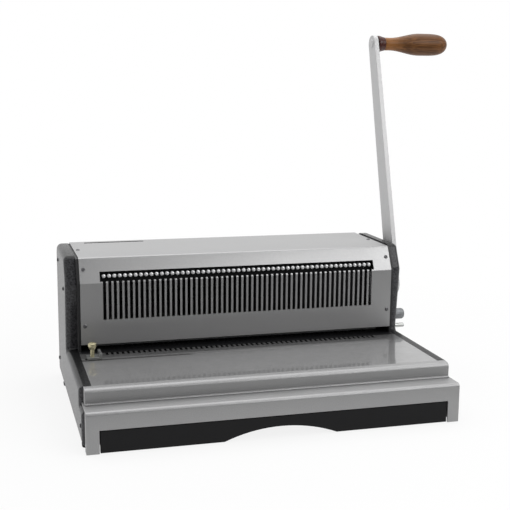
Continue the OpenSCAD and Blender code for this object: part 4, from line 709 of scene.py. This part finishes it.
# The colour turns a lighter amber towards the neck.
satin_rub_and_neck_tone = add(tree, "MapRange", {
    "Value": spot.outputs[0], "From Min": (low[0] + NECK_LIGHTEST) * MM,
    "From Max": (low[0] + NECK_PLAIN_FROM) * MM, "To Min": 0.6, "To Max": 0})
tone = add(tree, "Mix", {0: satin_rub_and_neck_tone.outputs[0], 6: stained.outputs[2], 7: linear("a9713c")}, data_type="RGBA")
dull = add(tree, "MapRange", {"Value": pore.outputs[0], "To Min": 0.5, "To Max": 0.34})
skin_bump = add(tree, "Bump", {"Height": pore.outputs[0], "Strength": 0.12, "Distance": 0.2 * MM})
shader = add(tree, "BsdfPrincipled", {
    "Base Color": tone.outputs[2], "Roughness": dull.outputs[0], "Coat Weight": 0.1, "Coat Roughness": 0.25,
    "Specular IOR Level": 0.2, "Normal": skin_bump.outputs[0]})
add(tree, "OutputMaterial", {"Surface": shader.outputs[0]})
grip_rings = turned(grip_profile, (low[0], middle[1], middle[2]), (1, 0, 0), GRIP_SIDES)
grip = skinned("turned_wood_grip", grip_rings[None], stained_wood, "grip")
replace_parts(grip, "wooden_grip")

# Brown-black paint on the ferrule: glossy, thin at the rims.
ferrule_paint, tree, place = mixed_pot("brown_black_gloss_paint")
thin = add(tree, "TexNoise", {"Vector": place, "Scale": per_mm(2.5), "Detail": 3})
tone = add(tree, "Mix", {0: thin.outputs[0], 6: linear("3a1a14"), 7: linear("522a22")}, data_type="RGBA")
dull = add(tree, "MapRange", {"Value": thin.outputs[0], "To Min": 0.26, "To Max": 0.4})
shader = add(tree, "BsdfPrincipled", {
    "Base Color": tone.outputs[2], "Roughness": dull.outputs[0], "Specular IOR Level": 0.35})
add(tree, "OutputMaterial", {"Surface": shader.outputs[0]})
dress(ferrule_paint, 0.4, "grip_ferrule")


# Studio: white paper under and behind the machine, soft boxes overhead and to the front right.
# The paper ends in front of it, and the room beyond is dim, so upright metal reads darker than flat.
# Camera, mirror and glass rays see the paper white; the machine's shadow stays in it.
PAPER_FRONT, PAPER_SIDE, PAPER_BACK = -0.3, 6.0, 6.0
floor_mesh = bpy.data.meshes.new("floor")
paper_corners = [(x, y, 0) for x, y in ((-PAPER_SIDE, PAPER_FRONT), (PAPER_SIDE, PAPER_FRONT),
                                        (PAPER_SIDE, PAPER_BACK), (-PAPER_SIDE, PAPER_BACK))]
floor_mesh.from_pydata(paper_corners, [], [(0, 1, 2, 3)])
floor = bpy.data.objects.new("floor", floor_mesh)
bpy.context.scene.collection.objects.link(floor)

# The paper keeps a share of shadow round the machine and is full white from 0.8 m on.
MIDDLE, SHADOW_OUT, WHITE_FROM = (0.2, 0.13, 0), 0.3, 0.8
white_floor, tree, place = mixed_pot("white_floor")
path = add(tree, "LightPath")
mirrored = add(tree, "Math", {0: path.outputs["Is Glossy Ray"], 1: path.outputs["Is Transmission Ray"]},
               operation="MAXIMUM")
seen = add(tree, "Math", {0: path.outputs["Is Camera Ray"], 1: mirrored.outputs[0]}, operation="MAXIMUM")
off = add(tree, "VectorMath", {0: place, 1: MIDDLE}, operation="DISTANCE")
white = add(tree, "MapRange", {
    "Value": off.outputs["Value"], "From Min": SHADOW_OUT, "From Max": WHITE_FROM,
    "To Min": 0.86, "To Max": 1.0})

# Under the back of the machine the paper is only lit by what gets there, so it is dark through the slots.
UNDER_FRONT, UNDER_BACK, UNDER_EDGE = 100.0, 20.0, 0.01
under_low = np.array([cover_low[0], face - UNDER_FRONT]) * MM
under_high = np.array([cover_high[0], rear + UNDER_BACK]) * MM
under_middle, under_reach = (under_low + under_high) / 2, (under_high - under_low) / 2
aside = add(tree, "VectorMath", {0: place, 1: (*under_middle.tolist(), 0)}, operation="SUBTRACT")
aside = add(tree, "VectorMath", {0: aside.outputs[0]}, operation="ABSOLUTE")
past = add(tree, "VectorMath", {0: aside.outputs[0], 1: (*under_reach.tolist(), 0)}, operation="SUBTRACT")
beyond = add(tree, "SeparateXYZ", {0: past.outputs[0]})
edge = add(tree, "Math", {0: beyond.outputs[0], 1: beyond.outputs[1]}, operation="MAXIMUM")
open_floor = add(tree, "MapRange", {
    "Value": edge.outputs[0], "From Min": -UNDER_EDGE, "From Max": UNDER_EDGE})
lit_share = add(tree, "Math", {0: white.outputs[0], 1: open_floor.outputs[0]}, operation="MULTIPLY")
glow_share = add(tree, "Math", {0: seen.outputs[0], 1: lit_share.outputs[0]}, operation="MULTIPLY")
matt = add(tree, "BsdfDiffuse", {"Color": linear("e6e6e6")})
glow = add(tree, "Emission", {"Color": (1, 1, 1, 1), "Strength": 1.0})
blend = add(tree, "MixShader", {0: glow_share.outputs[0], 1: matt.outputs[0], 2: glow.outputs[0]})
add(tree, "OutputMaterial", {"Surface": blend.outputs[0]})
floor_mesh.materials.append(white_floor)

# The room lights the machine from the back and fades to the front; metal sees a little more of the paper.
# A number mix takes its share at socket 0 and its numbers at 2 and 3, and gives the mix at 0.
world = bpy.data.worlds.new("studio")
bpy.context.scene.world = world
world.use_nodes = True
tree = world.node_tree
tree.nodes.clear()
towards = add(tree, "SeparateXYZ", {0: add(tree, "TexCoord").outputs["Generated"]})
room = add(tree, "MapRange", {
    "Value": towards.outputs[1], "From Min": -0.6, "From Max": 0.5, "To Min": 0.12, "To Max": 0.95})
paper = add(tree, "MapRange", {
    "Value": towards.outputs[1], "From Min": -0.5, "From Max": 0.2, "To Min": 0.14, "To Max": 1.0})
path = add(tree, "LightPath")
mirrored = add(tree, "Math", {0: path.outputs["Is Glossy Ray"], 1: path.outputs["Is Transmission Ray"]},
               operation="MAXIMUM")
lit = add(tree, "Mix", {0: mirrored.outputs[0], 2: room.outputs[0], 3: paper.outputs[0]}, data_type="FLOAT")
level = add(tree, "Mix", {0: path.outputs["Is Camera Ray"], 2: lit.outputs[0], 3: 1.0}, data_type="FLOAT")
back = add(tree, "Background", {"Color": (1, 1, 1, 1), "Strength": level.outputs[0]})
add(tree, "OutputWorld", {"Surface": back.outputs[0]})


def looking(right, up, ahead, at):
    """World matrix of a lamp or camera that looks ahead from a point."""
    return Matrix([[right[i], up[i], -ahead[i], at[i]] for i in range(3)] + [[0, 0, 0, 1]])


def soft_box(name, at, aim, width, height, power):
    """An oblong area lamp at a point, turned towards another."""
    lamp = bpy.data.lights.new(name, "AREA")
    lamp.shape = "RECTANGLE"
    lamp.energy, lamp.size, lamp.size_y = power, width, height
    box = bpy.data.objects.new(name, lamp)
    ahead = np.asarray(aim, float) - at
    ahead /= np.linalg.norm(ahead)
    right = np.cross(ahead, (0.0, 1.0, 0.0) if abs(ahead[2]) > 0.9 else (0.0, 0.0, 1.0))
    right /= np.linalg.norm(right)
    box.matrix_world = looking(right, np.cross(right, ahead), ahead, at)
    bpy.context.scene.collection.objects.link(box)


LAMP_AIM = (0.2, 0.12, 0.1)
soft_box("overhead_box", (0.25, 0.35, 1.7), LAMP_AIM, width=2.2, height=2.0, power=18)
soft_box("front_right_box", (1.05, -0.85, 1.0), LAMP_AIM, width=1.5, height=0.7, power=11)

# The camera as fitted to the machine's edges: focal length in pixels of a square frame, stand in metres.
FOCAL, FRAME_SIDE, SENSOR, STAND = 984.9, 510, 36.0, (-0.0989, -0.9879, 0.3790)
yaw, pitch_down, roll = (math.radians(a) for a in (15.771, 10.107, 0.539))
camera_data = bpy.data.cameras.new("camera")
camera = bpy.data.objects.new("camera", camera_data)
bpy.context.scene.collection.objects.link(camera)
camera_data.sensor_width, camera_data.lens = SENSOR, FOCAL / FRAME_SIDE * SENSOR
camera_data.clip_start, camera_data.clip_end = 0.05, 50
ahead = np.array([math.sin(yaw) * math.cos(pitch_down), math.cos(yaw) * math.cos(pitch_down),
                  -math.sin(pitch_down)])
level_right = np.array([math.cos(yaw), -math.sin(yaw), 0])
level_up = np.cross(level_right, ahead)
right = math.cos(roll) * level_right + math.sin(roll) * level_up
up = -math.sin(roll) * level_right + math.cos(roll) * level_up
camera.matrix_world = looking(right, up, ahead, STAND)
bpy.context.scene.camera = camera
bpy.context.scene.view_settings.view_transform = "Standard"
